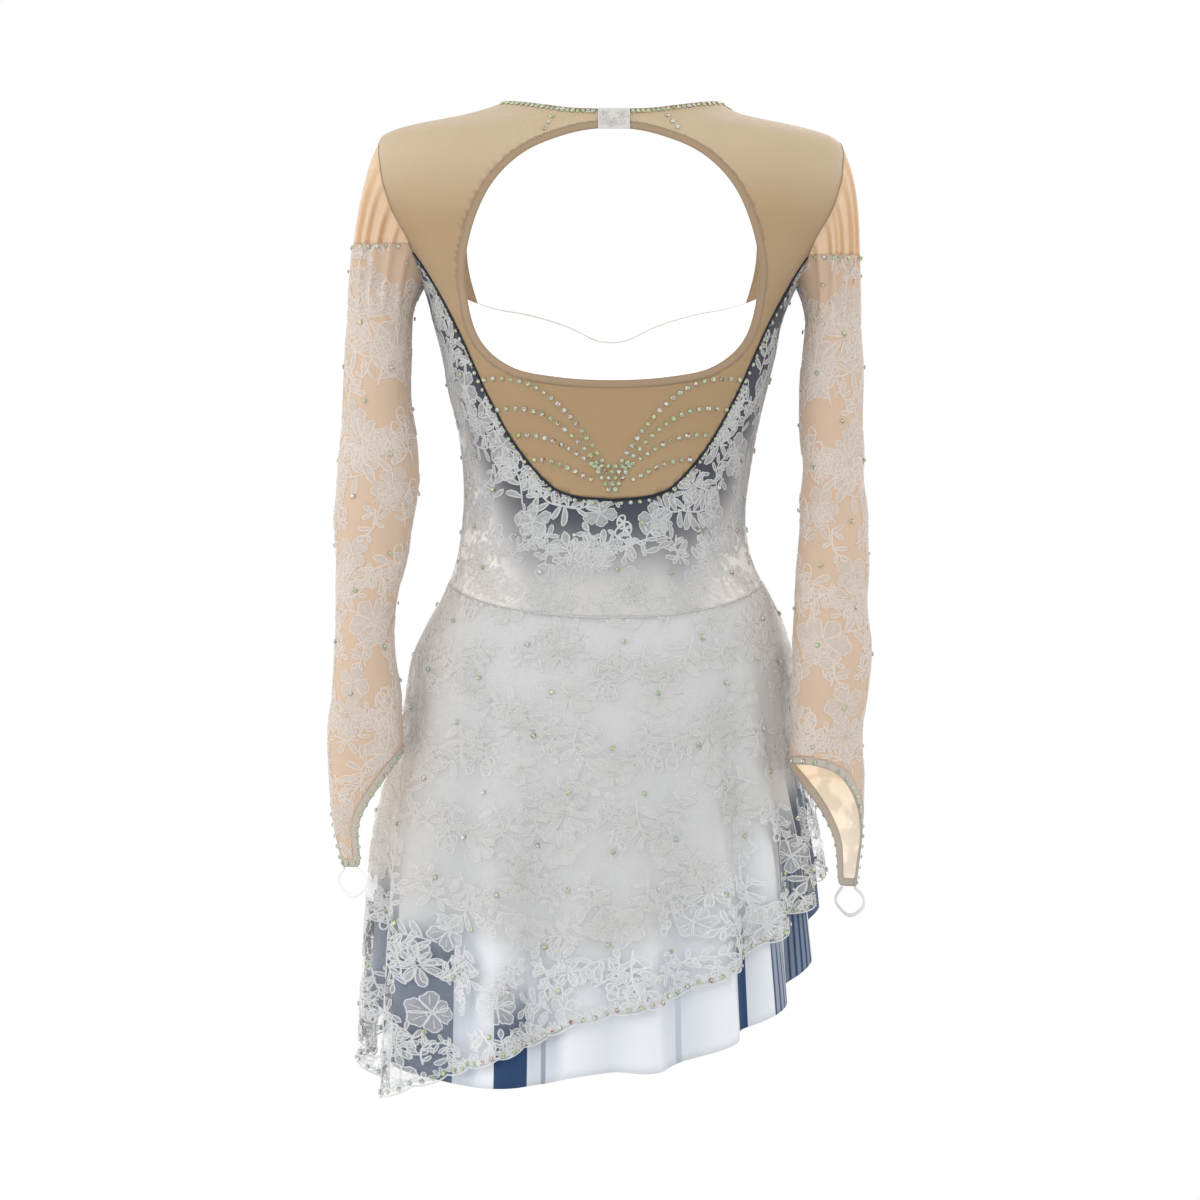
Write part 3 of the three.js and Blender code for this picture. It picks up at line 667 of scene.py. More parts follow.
def sleeve_core(name):
    """Points in the middle of a sleeve."""
    rows = SLEEVE_ROWS[name]

    def core(p):
        z = np.minimum(p[..., 2], rows["z"][0])
        inner, outer, y = columns(rows, "z", z, "inner outer y")
        return xyz(SLEEVES[name]["side"] * (inner + outer) / 2, y, p[..., 2] - 20)

    return core


# ---- meshes ----
def cut_grid(surface, us, vs, closed, edges):
    """A grid of cells, cut by edge functions that are positive on the part that is kept."""
    us, vs = np.asarray(us, float), np.asarray(vs, float)
    spots = np.column_stack([np.tile(us, len(vs)), np.repeat(vs, len(us))])
    n = len(us)
    cells = [
        (j * n + i, j * n + (i + 1) % n, (j + 1) * n + (i + 1) % n, (j + 1) * n + i)
        for j in range(len(vs) - 1)
        for i in range(n if closed else n - 1)
    ]
    for edge in edges:

        def value(at):
            return edge(surface(at[:, 0], at[:, 1]), at[:, 0], at[:, 1])

        g = np.asarray(value(spots), float) * np.ones(len(spots))
        g[np.abs(g) < SNAP] = 0
        count = len(spots)
        pairs, kept = {}, []
        for cell in cells:
            signs = [g[i] for i in cell]
            if min(signs) >= 0:
                if max(signs) > 0:
                    kept.append(cell)
                continue
            if max(signs) <= 0:
                continue
            part = []
            for k, a in enumerate(cell):
                b = cell[(k + 1) % len(cell)]
                if g[a] >= 0:
                    part.append(a)
                if g[a] * g[b] < 0:
                    key = (min(a, b), max(a, b))
                    part.append(pairs.setdefault(key, count + len(pairs)))
            if len(part) > 2:
                kept.append(tuple(part))
        cells = kept
        if pairs:
            ends = np.array(list(pairs))
            a, b = spots[ends[:, 0]], spots[ends[:, 1]].copy()
            if closed:
                round_by = a[:, 0] - b[:, 0]
                b[:, 0] += 360 * ((round_by > 180) * 1.0 - (round_by < -180) * 1.0)
            rising = g[ends[:, 0]] < 0

            def short(t):
                return (value(a + t[:, None] * (b - a)) > 0) != rising

            low, high = halved(np.zeros(len(a)), np.ones(len(a)), 12, short)
            spots = np.vstack([spots, a + ((low + high) / 2)[:, None] * (b - a)])
    return spots, cells


def make_mesh(name, points, faces, looks, indices=None, uv=None, marks=None, smooth_faces=True):
    """A new object from points in millimetres and faces, with finishes by their names."""
    mesh = bpy.data.meshes.new(name)
    mesh.from_pydata((np.asarray(points) * MM).tolist(), [], [list(map(int, f)) for f in faces])
    for look in looks:
        mesh.materials.append(material(look))
    if indices is not None:
        mesh.polygons.foreach_set("material_index", np.asarray(indices, np.int32))
    corners = np.empty(len(mesh.loops), np.int32)
    mesh.loops.foreach_get("vertex_index", corners)
    if uv is not None:
        layer = mesh.uv_layers.new(name="Cloth")
        layer.data.foreach_set("uv", (np.asarray(uv, np.float32)[corners] * MM).ravel())
    for key, values in (marks or {}).items():
        layer = mesh.attributes.new(key, "FLOAT", "POINT")
        layer.data.foreach_set("value", np.asarray(values, np.float32))
    mesh.polygons.foreach_set("use_smooth", np.full(len(mesh.polygons), smooth_faces))
    mesh.validate()
    mesh.update()
    obj = bpy.data.objects.new(name, mesh)
    bpy.context.scene.collection.objects.link(obj)
    return obj


def apply_modifier(obj, kind, **settings):
    """Adds a modifier to a piece and applies it."""
    modifier = obj.modifiers.new(kind.title(), kind)
    for key, value in settings.items():
        setattr(modifier, key, value)
    bpy.context.view_layer.objects.active = obj
    bpy.ops.object.modifier_apply(modifier=modifier.name)


def cloth(
    name, node, slot, surface, us, vs, looks, thick, flat, core=body_core,
    closed=False, edges=(), lift=0.0, marks=None,
):
    """A thin shell of cloth on a surface, cut to its edges, that stands for a node of the frame."""
    spots, cells = cut_grid(surface, us, vs, closed, edges)
    used = np.unique(np.concatenate([np.array(c) for c in cells]))
    order = np.full(len(spots), -1)
    order[used] = np.arange(len(used))
    u, v = spots[used, 0], spots[used, 1]
    p = surface(u, v)
    n = normals(surface, u, v, core)
    first = np.array([order[i] for i in cells[0]][:3])
    corner = p[first]
    turned = np.dot(np.cross(corner[1] - corner[0], corner[2] - corner[0]), n[first[0]]) < 0
    faces = [tuple(order[i] for i in (reversed(c) if turned else c)) for c in cells]
    values = {key: f(u, v, p) for key, f in (marks or {}).items()}
    obj = make_mesh(name, p + n * lift, faces, looks, uv=flat(u, v, p), marks=values)
    apply_modifier(
        obj,
        "SOLIDIFY",
        thickness=thick * MM,
        offset=-1,
        use_rim=True,
        material_offset=len(looks) - 1,
        material_offset_rim=0,
    )
    finish(obj, slot, node)
    return obj


def finish(obj, slot, *nodes):
    """Ties a piece to the frame: its body and the nodes that it stands for, which it hides. The
    slot is not used.
    """
    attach(obj, "root")
    if nodes:
        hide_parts(*nodes)


def tube(points, radius, sides=8, closed=False, squash=1.0, up=None):
    """A tube along points: its points and faces. squash flattens it along up."""
    p = np.asarray(points, float)
    n = len(p)
    tangent = ahead_of(p, closed)
    if up is None:
        up = np.tile([0.0, 0.0, 1.0], (n, 1))
        near = np.abs(tangent[:, 2]) > 0.9
        up[near] = [0.0, 1.0, 0.0]
    side = unit(np.cross(tangent, up))
    over = np.cross(side, tangent)
    a = np.arange(sides) * 2 * math.pi / sides
    c, s = radius * np.cos(a)[None, :, None], radius * squash * np.sin(a)[None, :, None]
    verts = (p[:, None] + c * side[:, None] + s * over[:, None]).reshape(-1, 3)
    faces = []
    for i in range(n if closed else n - 1):
        here, there = i * sides, (i + 1) % n * sides
        for j in range(sides):
            k = (j + 1) % sides
            faces.append((here + j, here + k, there + k, there + j))
    if not closed:
        faces += [tuple(range(sides))[::-1], tuple((n - 1) * sides + j for j in range(sides))]
    return verts, faces


def joined(parts):
    """Several sets of points and faces as one."""
    points, faces, start = [], [], 0
    for verts, polygons in parts:
        points.append(verts)
        faces += [tuple(i + start for i in face) for face in polygons]
        start += len(verts)
    return np.vstack(points), faces


# ---- places on the body and the skirts ----
def body_turn(x, z, front=False):
    """The angle and table row of a point of the body, from its place seen from behind or front."""
    v = row_at(z)
    left, right, square = columns(BODY, "index", v, "left right square")
    width = np.where(np.asarray(x) > 0, left, right)
    share = np.clip(np.abs(x) / width, 0, 0.99999)
    depth = (1 - share**square) ** (1 / square)
    return np.degrees(np.arctan2(x / width, -depth if front else depth)) % 360, v


def on_body(x, z, height=0.0, front=False):
    """Points of the body's surface raised by a height, with their normals."""
    turn, v = body_turn(np.asarray(x, float), np.asarray(z, float), front)
    n = normals(body, turn, v, body_core)
    return body(turn, v) + n * np.reshape(height, (-1, 1)), n


def evenly(points, pitch, closed=False):
    """Points at an even pitch along a line of points."""
    p = np.asarray(points, float)
    if closed:
        p = np.vstack([p, p[:1]])
    far = lengths(p)
    count = max(int(round(far[-1] / pitch)), 1)
    at = np.linspace(0, far[-1], count + (0 if closed else 1), endpoint=not closed)
    return np.stack([np.interp(at, far, p[:, k]) for k in range(p.shape[1])], axis=-1)


# The skirts are laid flat as part of a ring: its share of a full turn, its radius at the waist
# and how far down a step along it goes. The lace is laid out over a span of heights.
CONE_SHARE, CONE_WAIST, CONE_SLOPE = 0.245, 457.0, 0.98
SKIRT_SPAN = (-885.0, -405.0)


def skirt_flat(turn, z):
    """A skirt's point on its flat pattern."""
    far = CONE_WAIST + (waist(turn) - z) / CONE_SLOPE
    at = CONE_SHARE * np.radians(turn)
    return np.stack([far * np.sin(at), far * np.cos(at)], axis=-1)


def skirt_unflat(column, x, y):
    """The angle and share of the fall of a point on a skirt's flat pattern."""
    turn = np.degrees(np.arctan2(x, y) / CONE_SHARE)
    z = waist(turn) - (np.hypot(x, y) - CONE_WAIST) * CONE_SLOPE
    top = waist(turn)
    return turn, (z - top) / (visible_hem(column, turn) - top)


def visible_hem(column, turn):
    """A hem's height with the lace's scalloped edge."""
    rise = 3.0 * (1 - np.abs(np.sin(np.radians(turn) * 25))) ** 1.4 if column == "lace" else 0
    return hem(column, turn) + rise


def hanging(column, inset):
    """A skirt's surface from the waist seam to its visible hem."""

    def surface(turn, v):
        top = waist(turn)
        return skirt_at(turn, top + (visible_hem(column, turn) - top) * v, inset(v))

    return surface


def lace_inset(v):
    """The lace skirt hangs on the outside."""
    return 0.0 * v


def under_inset(v):
    """The underskirt stands in from the lace, more further down."""
    return 1.8 + 7.2 * smooth(v * 2)


LACE_SKIRT = hanging("lace", lace_inset)
UNDERSKIRT = hanging("under", under_inset)
SLEEVE = {name: sleeve(name) for name in SLEEVES}
KEYHOLE_LEFT = [(-x, z) for x, z in KEYHOLE[-2:0:-1]]
KEYHOLE_OUTLINE = spline([*KEYHOLE, *KEYHOLE_LEFT], 144, closed=True)


# ---- lace motifs, in millimetres ----
def petal(length, width, lobes=0, depth=0.1, point=0.0, bend=0.0, count=14):
    """Outline of a petal or leaf with its foot at the origin and its tip up +Y."""
    a = np.linspace(0, 2 * math.pi, count, endpoint=False)
    y = (1 - np.cos(a)) / 2
    x = np.sin(a) * (0.3 + 0.95 * y) * (1 - point * y**2)
    out = 1 - depth * y * np.abs(np.sin(lobes * (a - math.pi) / 2)) if lobes else 1.0
    return np.stack([x * width / 2 * out + bend * y**2 * length, y * length * out], axis=-1)


def turned(points, degrees, offset=(0, 0), scale=1.0):
    """Flat points turned clockwise and moved."""
    c, s = math.cos(math.radians(degrees)), math.sin(math.radians(degrees))
    p = np.asarray(points, float) * scale
    return np.stack([p[:, 0] * c + p[:, 1] * s, -p[:, 0] * s + p[:, 1] * c], axis=-1) + offset


def swirl(radius, turns, start=0.0, count=22, grow=0.14):
    """A spiral line that opens outwards."""
    t = np.linspace(0, 1, count)
    r = radius * (grow + (1 - grow) * t)
    a = math.radians(start) + turns * 2 * math.pi * t
    return np.stack([r * np.cos(a), r * np.sin(a)], axis=-1)


class Motif:
    """Filled petals and raised cords that make one figure of the lace."""

    ringed = True

    def __init__(self):
        self.points, self.quads, self.tris, self.kinds = [], [], [], ([], [])
        self.count = 0

    def add(self, points, heights):
        start = self.count
        self.points.append(np.column_stack([points, heights]))
        self.count += len(points)
        return start

    def fill(self, outline, dome=0.3):
        """A petal's cloth, domed towards its middle, with a ring half way where the cloth bends."""
        n, middle = len(outline), outline.mean(axis=0)
        rings = [outline, middle + (outline - middle) * 0.55][: 1 + self.ringed]
        heights = [0.12] * n + [dome] * (n * self.ringed) + [dome * 1.2]
        start = self.add(np.vstack([*rings, [middle]]), heights)
        inner = start + n * self.ringed
        for i in range(n):
            j = (i + 1) % n
            if self.ringed:
                self.quads.append((start + i, inner + i, inner + j, start + j))
                self.kinds[0].append(0)
            self.tris.append((inner + i, inner + n, inner + j))
            self.kinds[1].append(0)

    def cord(self, line, closed=False, width=1.1, high=0.62):
        """A raised thread along a line."""
        p = np.asarray(line, float)
        n = len(p)
        side = left_of(ahead_of(p, closed)) * width / 2
        start = self.add(np.vstack([p - side, p, p + side]), [0.1] * n + [high] * n + [0.1] * n)
        for i in range(n if closed else n - 1):
            j = (i + 1) % n
            for a in (start, start + n):
                self.quads.append((a + i, a + j, a + n + j, a + n + i))
                self.kinds[0].append(1)

    def leaf(self, outline, width=1.1):
        """A petal with its corded edge."""
        self.fill(outline)
        self.cord(outline, closed=True, width=width)

    def done(self):
        self.points = np.vstack(self.points)
        self.quads = np.array(self.quads, int).reshape(-1, 4)
        self.tris = np.array(self.tris, int).reshape(-1, 3)
        self.kinds = tuple(np.array(k, int) for k in self.kinds)
        return self


def open_flower(rng, radius, petals):
    """A full flower with lobed petals, their veins and a curled heart."""
    m = Motif()
    for k in range(petals):
        length = radius * rng.uniform(0.72, 0.98)
        width = length * rng.uniform(0.62, 0.86)
        lean = 360 / petals * k + rng.uniform(-13, 13)
        bend = rng.uniform(-0.16, 0.16)
        shape = petal(length * 0.95, width * 1.1, lobes=5, depth=0.2, bend=bend, count=15)
        m.leaf(turned(shape + [0, radius * 0.05], lean))
        vein = np.array([[0, 0.24], [bend * 0.12, 0.42], [bend * 0.4, 0.62]]) * length
        m.cord(turned(vein + [0, radius * 0.1], lean), width=0.8, high=0.5)
    for k in range(2):
        heart = swirl(radius * 0.17, 0.85, 40, 8)
        m.cord(turned(heart, 180 * k, (radius * 0.06 * (1 - 2 * k), 0)), width=1.0, high=0.85)
    return m.done()


def star_flower(rng, radius, petals):
    """A smaller flower with narrow petals."""
    m = Motif()
    for k in range(petals):
        length, width = radius * rng.uniform(0.66, 0.95), radius * rng.uniform(0.34, 0.46)
        shape = petal(length, width, point=0.3, bend=rng.uniform(-0.14, 0.14), count=10)
        m.leaf(turned(shape + [0, radius * 0.16], 360 / petals * k + rng.uniform(-8, 8)))
    a = np.linspace(0, 2 * math.pi, 8, endpoint=False)
    heart = np.stack([np.cos(a), np.sin(a)], axis=-1) * radius * 0.12
    m.cord(heart, closed=True, width=1.0, high=0.8)
    return m.done()


def heading(way):
    """The angle clockwise from +Y of a flat direction."""
    return math.degrees(math.atan2(way[0], way[1]))


def leafy_spray(rng, length, leaves):
    """A curved stem with leaves on both sides and a bud at its tip."""
    m = Motif()
    t = np.linspace(0, 1, 11)
    bend = rng.uniform(0.2, 0.34) * length
    stem = np.stack([bend * np.sin(t * 2.4), t * length * (1 - 0.2 * t)], axis=-1)
    m.cord(stem, width=1.2)
    for k in range(leaves):
        at = 0.1 + 0.78 * k / max(leaves - 1, 1)
        foot, next_one = (
            np.array([np.interp(x, t, stem[:, i]) for i in (0, 1)]) for x in (at, at + 0.05)
        )
        lean = heading(next_one - foot) + (58 if k % 2 else -58) + rng.uniform(-12, 12)
        long = length * rng.uniform(0.3, 0.46) * (1.1 - 0.35 * at)
        wide = long * rng.uniform(0.36, 0.5)
        shape = petal(long, wide, point=0.35, bend=rng.uniform(-0.25, 0.25), count=9)
        m.leaf(turned(shape, lean, foot), width=1.0)
    bud = petal(length * 0.28, length * 0.18, lobes=3, depth=0.2, count=10)
    m.leaf(turned(bud, heading(stem[-1] - stem[-2]), stem[-1]))
    return m.done()


def tendril(rng, radius):
    """A wavy thread that ends in a curl, with small leaves along it."""
    m = Motif()
    t = np.linspace(0, 1, 16)
    stem = np.stack([radius * 0.5 * np.sin(t * 5.2), -radius * (0.9 + 2.1 * (1 - t))], axis=-1)
    curl = swirl(radius * 0.7, 1.05, 100, 14, grow=0.2)[::-1] * [0.8, 1.1]
    m.cord(np.vstack([stem, curl + (stem[-1] - curl[0])]), width=1.2)
    shape = petal(radius * 0.62, radius * 0.26, point=0.3, count=8)
    for k, at in enumerate((2, 5, 8, 11)):
        way = 62 if k % 2 else -62
        m.leaf(turned(shape, way + rng.uniform(-12, 12), stem[at]), width=0.9)
    return m.done()


def rose_fan(rng, radius):
    """A half flower for the edge of the lace."""
    m = Motif()
    shape = petal(radius * 0.8, radius * 0.42, point=0.2, count=9) + [0, radius * 0.14]
    for k in range(4):
        m.leaf(turned(shape, -66 + 44 * k + rng.uniform(-6, 6)), width=0.9)
    return m.done()


def motif_set(seed, ringed=True):
    """Several of each figure, each a little different."""
    Motif.ringed = ringed
    rng = np.random.default_rng(seed)
    return {
        "open": [open_flower(rng, r, n) for r, n in ((23, 6), (21, 5), (25, 6), (20, 5))],
        "star": [star_flower(rng, r, n) for r, n in ((17, 7), (14, 6), (19, 8))],
        "spray": [leafy_spray(rng, r, n) for r, n in ((34, 7), (38, 8), (30, 6))],
        "small": [leafy_spray(rng, r, n) for r, n in ((24, 5), (20, 4), (27, 5))],
        "tendril": [tendril(rng, r) for r in (9, 7.5, 11)],
        "fan": [rose_fan(rng, r) for r in (9, 10, 8.5)],
    }


# One cell of the lace: figure, place as shares of the pitch, angle and scale.
LACE_CELL = (
    ("open", 0.02, 0.0, 0, 1.0),
    ("star", 0.5, 0.46, 20, 1.0),
    ("spray", 0.27, 0.16, 66, 1.16),
    ("spray", -0.22, 0.3, -28, 1.16),
    ("small", 0.1, 0.4, 14, 1.15),
    ("small", -0.24, -0.26, 215, 1.2),
    ("small", 0.26, -0.32, 140, 1.2),
    ("tendril", -0.42, 0.12, 24, 1.3),
    ("small", -0.32, 0.74, 290, 0.9),
)


def placed(figure, angle, offset, scale, flip=1):
    """One figure at its place: points, quads, triangles and the kinds of both. Flip mirrors it."""
    flat = turned(figure.points[:, :2] * [flip, 1], angle, offset, scale)
    points = np.column_stack([flat, figure.points[:, 2]])
    return points, figure.quads[:, ::flip], figure.tris[:, ::flip], *figure.kinds


def merged(*sets):
    """Several sets of flat lace as one."""
    points, quads, tris, quad_kinds, tri_kinds = zip(*sets)
    starts = np.cumsum([0, *map(len, points)])
    return (
        np.vstack(points),
        np.vstack([q + start for q, start in zip(quads, starts)]),
        np.vstack([t + start for t, start in zip(tris, starts)]),
        np.concatenate(quad_kinds),
        np.concatenate(tri_kinds),
    )


def scatter(figures, extent, pitch, seed, around=None, swell=1.0):
    """Flat lace over an area: rows of cells, each row shifted."""
    rng = np.random.default_rng(seed)
    (x0, x1), (y0, y1) = extent
    count = round(around / pitch) if around else None
    step = around / count if around else pitch
    rise = pitch * 1.02
    sets = []
    for row in range(int((y1 - y0) / rise) + 2):
        for column in range(count or int((x1 - x0) / step) + 2):
            middle = np.array([x0 + (column + 0.5 * (row % 2)) * step, y0 + row * rise])
            flip = -1 if (row + column) % 2 else 1
            for name, dx, dy, angle, scale in LACE_CELL:
                figure = figures[name][rng.integers(len(figures[name]))]
                at = middle + np.array([flip * dx * step, dy * rise]) + rng.uniform(-6.5, 6.5, 2)
                turn = flip * angle + rng.uniform(-24, 24)
                if name in ("open", "star"):
                    turn += rng.uniform(0, 360)
                scale = swell * scale * rng.uniform(0.84, 1.14)
                sets.append(placed(figure, turn, at, scale, flip))
    return merged(*sets)


def edge_row(figures, name, line, seed):
    """Figures set along a line of flat points and angles."""
    rng = np.random.default_rng(seed)
    sets = []
    for x, y, angle in line:
        figure = figures[name][rng.integers(len(figures[name]))]
        sets.append(placed(figure, angle, (x, y), rng.uniform(0.94, 1.06)))
    return merged(*sets)


def lay_lace(
    name, slot, flat, surface, to_surface, keep, looks, core=body_core, lift=LACE_LIFT, marks=None
):
    """Lays flat lace on a surface, leaving out what falls outside the panel."""
    points, quads, tris, quad_kinds, tri_kinds = flat
    u, v = to_surface(points[:, 0], points[:, 1])
    within = keep(u, v)
    q, t = within[quads].all(axis=1), within[tris].all(axis=1)
    quads, tris, kinds = quads[q], tris[t], np.concatenate([quad_kinds[q], tri_kinds[t]])
    used = np.unique(np.concatenate([quads.ravel(), tris.ravel()]))
    order = np.zeros(len(points), int)
    order[used] = np.arange(len(used))
    u, v = u[used], v[used]
    n = normals(surface, u, v, core)
    p = surface(u, v) + n * (lift + points[used, 2])[:, None]
    faces = [*order[quads].tolist(), *order[tris].tolist()]
    a, b, c = (p[order[quads[0]][k]] for k in range(3))
    if np.dot(np.cross(b - a, c - a), n[order[quads[0][0]]]) < 0:
        faces = [face[::-1] for face in faces]
    values = {key: f(u, v, p) for key, f in (marks or {}).items()}
    obj = make_mesh(name, p, faces, looks, indices=kinds, uv=points[used, :2], marks=values)
    finish(obj, slot)
    return obj


# ---- stones and stitches ----
def stones(name, slot, spots, share, seed):
    """Cut stones with a flat top, each on its spot and square to the cloth."""
    rng = np.random.default_rng(seed)
    p, n = (np.vstack([s[k] for s in spots]) for k in (0, 1))
    side = unit(np.cross(n, [0.31, 0.2, 0.93]))
    over = np.cross(n, side)
    count = len(p)
    r = size("stone") * share * rng.uniform(0.88, 1.1, count)
    a = np.arange(8) * math.pi / 4 + rng.uniform(0, 1.5, (count, 1))
    rings = []
    for reach, high, shift in ((0.92, 0.0, 0), (1.0, 0.22, 0), (0.58, 0.72, math.pi / 8)):
        c, s = np.cos(a + shift)[..., None], np.sin(a + shift)[..., None]
        out = (side[:, None] * c + over[:, None] * s) * (r * reach)[:, None, None]
        rings.append(p[:, None] + out + n[:, None] * (high * r)[:, None, None])
    verts = np.concatenate(rings, axis=1).reshape(-1, 3)
    # Each stone's tint, varied from facet point to facet point, which the stone finish turns into
    # its colour and painted sparkle.
    tints = np.repeat(rng.uniform(0, 1, count), 24) * 0.45 + rng.uniform(0, 0.55, 24 * count)
    faces = []
    for o in range(0, 24 * count, 24):
        for k in range(8):
            j = (k + 1) % 8
            faces.append((o + k, o + j, o + 8 + j, o + 8 + k))
            faces.append((o + 8 + k, o + 8 + j, o + 16 + k))
            faces.append((o + 8 + j, o + 16 + j, o + 16 + k))
        faces.append(tuple(range(o + 16, o + 24)))
        faces.append(tuple(range(o, o + 8))[::-1])
    a, b, c = verts[list(faces[0][:3])]
    if np.dot(np.cross(b - a, c - a), a - p[0]) < 0:
        faces = [face[::-1] for face in faces]
    obj = make_mesh(name, verts, faces, ["stones"], marks={"tint": tints}, smooth_faces=False)
    finish(obj, slot)


STITCH = {"width": 0.45, "high": 0.35}
STITCH_FACES = ((0, 3, 4), (3, 2, 5, 4), (2, 1, 5), (1, 0, 4, 5), (0, 1, 2, 3))


def stitches(name, slot, rows, look, length=2.0):
    """Small raised stitches along rows of points with normals."""
    verts, faces = [], []
    for p, n in rows:
        way = ahead_of(p)
        side = np.cross(n, way)
        for point, up, ahead, across in zip(p, n, way * length / 2, side * STITCH["width"] / 2):
            start = len(verts)
            tips = [point + up * STITCH["high"] + ahead * reach for reach in (-0.4, 0.4)]
            verts += [point - ahead, point + across, point + ahead, point - across, *tips]
            faces += [tuple(start + k for k in face) for face in STITCH_FACES]
    obj = make_mesh(name, np.array(verts), faces, [look])
    face_outwards(obj)
    finish(obj, slot)


def face_outwards(obj):
    """Turns a closed mesh's faces outwards."""
    bm = bmesh.new()
    bm.from_mesh(obj.data)
    bmesh.ops.recalc_face_normals(bm, faces=bm.faces)
    bm.to_mesh(obj.data)
    bm.free()


# ---- materials ----
def shade(red, green, blue):
    """A screen colour from 0 to 255 as a linear one."""
    c = np.array([red, green, blue]) / 255
    return tuple(np.where(c <= 0.04045, c / 12.92, ((c + 0.055) / 1.055) ** 2.4).tolist())


def toned(colour, factor):
    """A colour made lighter or darker."""
    return tuple(min(1.0, c * factor) for c in colour)


def arithmetic(operation, backwards=False):
    """A method that adds a maths node for an operation."""

    def method(self, *others):
        values = (*others, self) if backwards else (self, *others)
        return self.finish_of.node("ShaderNodeMath", {"operation": operation}, values)

    return method


class Value:
    """A shader socket that takes part in Python arithmetic."""

    def __init__(self, finish_of, socket):
        self.finish_of, self.socket = finish_of, socket

    __add__ = __radd__ = arithmetic("ADD")
    __sub__ = arithmetic("SUBTRACT")
    __rsub__ = arithmetic("SUBTRACT", backwards=True)
    __mul__ = __rmul__ = arithmetic("MULTIPLY")
    __pow__ = arithmetic("POWER")
    __abs__ = arithmetic("ABSOLUTE")
    sin = arithmetic("SINE")

    def clamped(self):
        return self.finish_of.node("ShaderNodeClamp", {}, (self,))


class Finish:
    """A material made of nodes."""

    def __init__(self, name, roughness=0.6, **fixed):
        self.material = bpy.data.materials.new(name)
        self.material.use_nodes = True
        self.tree = self.material.node_tree
        self.tree.nodes.clear()
        self.shader = self.tree.nodes.new("ShaderNodeBsdfPrincipled")
        out = self.tree.nodes.new("ShaderNodeOutputMaterial")
        self.tree.links.new(self.shader.outputs[0], out.inputs[0])
        self.shader.inputs["Roughness"].default_value = roughness
        for key, value in fixed.items():
            self.shader.inputs[key.replace("_", " ")].default_value = value

    def node(self, kind, settings, inputs=(), output=0):
        """A node with its settings, then the values or links of its sockets."""
        made = self.tree.nodes.new(kind)
        for key, value in settings.items():
            if key == "stops":
                ramp = made.color_ramp
                for _ in range(len(value) - 2):
                    ramp.elements.new(0.5)
                for element, (place, colour) in zip(ramp.elements, value):
                    element.position, element.color = place, (*colour, 1)
            else:
                setattr(made, key, value)
        for key, value in inputs.items() if isinstance(inputs, dict) else enumerate(inputs):
            self.feed(made.inputs[key], value)
        return Value(self, made.outputs[output])

    def feed(self, socket, value):
        if isinstance(value, Value):
            self.tree.links.new(value.socket, socket)
        elif hasattr(value, "__len__") and len(value) == 3 and socket.type == "RGBA":
            socket.default_value = (*value, 1)
        else:
            socket.default_value = value

    def set(self, name, value):
        self.feed(self.shader.inputs[name], value)

    def mix(self, share, a, b):
        """A colour between two."""
        return self.node("ShaderNodeMix", {"data_type": "RGBA"}, {0: share, 6: a, 7: b}, 2)

    def mark(self, name):
        """A value kept on the mesh's points."""
        return self.node("ShaderNodeAttribute", {"attribute_name": name}, (), 2)

    def flat(self):
        """The cloth's own flat coordinates, in metres."""
        uv = self.node("ShaderNodeUVMap", {"uv_map": "Cloth"})
        x = self.node("ShaderNodeSeparateXYZ", {}, (uv,))
        return uv, x, Value(self, x.socket.node.outputs[1])

    def noise(self, scale, detail=2.0, vector=None):
        """Soft noise at a scale per metre."""
        if vector is None:
            vector = self.node("ShaderNodeTexCoord", {}, (), 3)
        inputs = {"Vector": vector, "Scale": scale, "Detail": detail}
        return self.node("ShaderNodeTexNoise", {}, inputs)

    def bump(self, height, distance, strength):
        inputs = {"Height": height, "Distance": distance, "Strength": strength}
        self.set("Normal", self.node("ShaderNodeBump", {}, inputs))


# Repeats in metres: cells of the knits, the twist of a cord, the weave of a petal, and the lines
# of layered mesh, which are in degrees.
CELLS = {"mesh": 0.0011, "net": 0.0016, "fine": 0.0012, "band": 0.0009}
TWIST, WEAVE, LINES = 0.0011, (0.0008, 0.0010), 1.15


def sine(value, repeat):
    """A sine wave over a value."""
    return (value * (2 * math.pi / repeat)).sin()


def knit(f, kind):
    """Height of a fine net from its flat coordinates: 1 on the threads and 0 in the holes."""
    uv, x, y = f.flat()
    slant, repeat = y * 0.577, 2 * CELLS[kind]
    a, b, c = (abs(sine(at, repeat)) for at in (x + slant, x - slant, y * 1.155))
    return uv, 1 - (a * b * c) ** 0.5


def mesh_finish(name, colour, deep, alpha, mark=None):
    """Sheer stretch mesh: a fine knit with soft shading and a slight sheen."""
    f = Finish(name, 0.55, Sheen_Weight=0.25, Sheen_Roughness=0.4, Specular_IOR_Level=0.3)
    _, net = knit(f, "mesh")
    cloud = f.noise(9, 3)
    share = (cloud - 0.5) * 0.5
    if mark:
        share = share + f.mark(mark)
    tone = f.mix(share.clamped(), colour, deep)
    f.set("Base Color", f.mix(net * 0.22, tone, toned(colour, 1.18)))
    dense = f.mark(mark) * (0.98 - alpha) if mark else 0.0
    f.set("Alpha", (net * 0.16 + dense + (alpha - 0.06)).clamped())
    f.bump(net, 0.00025, 0.6)
    return f.material


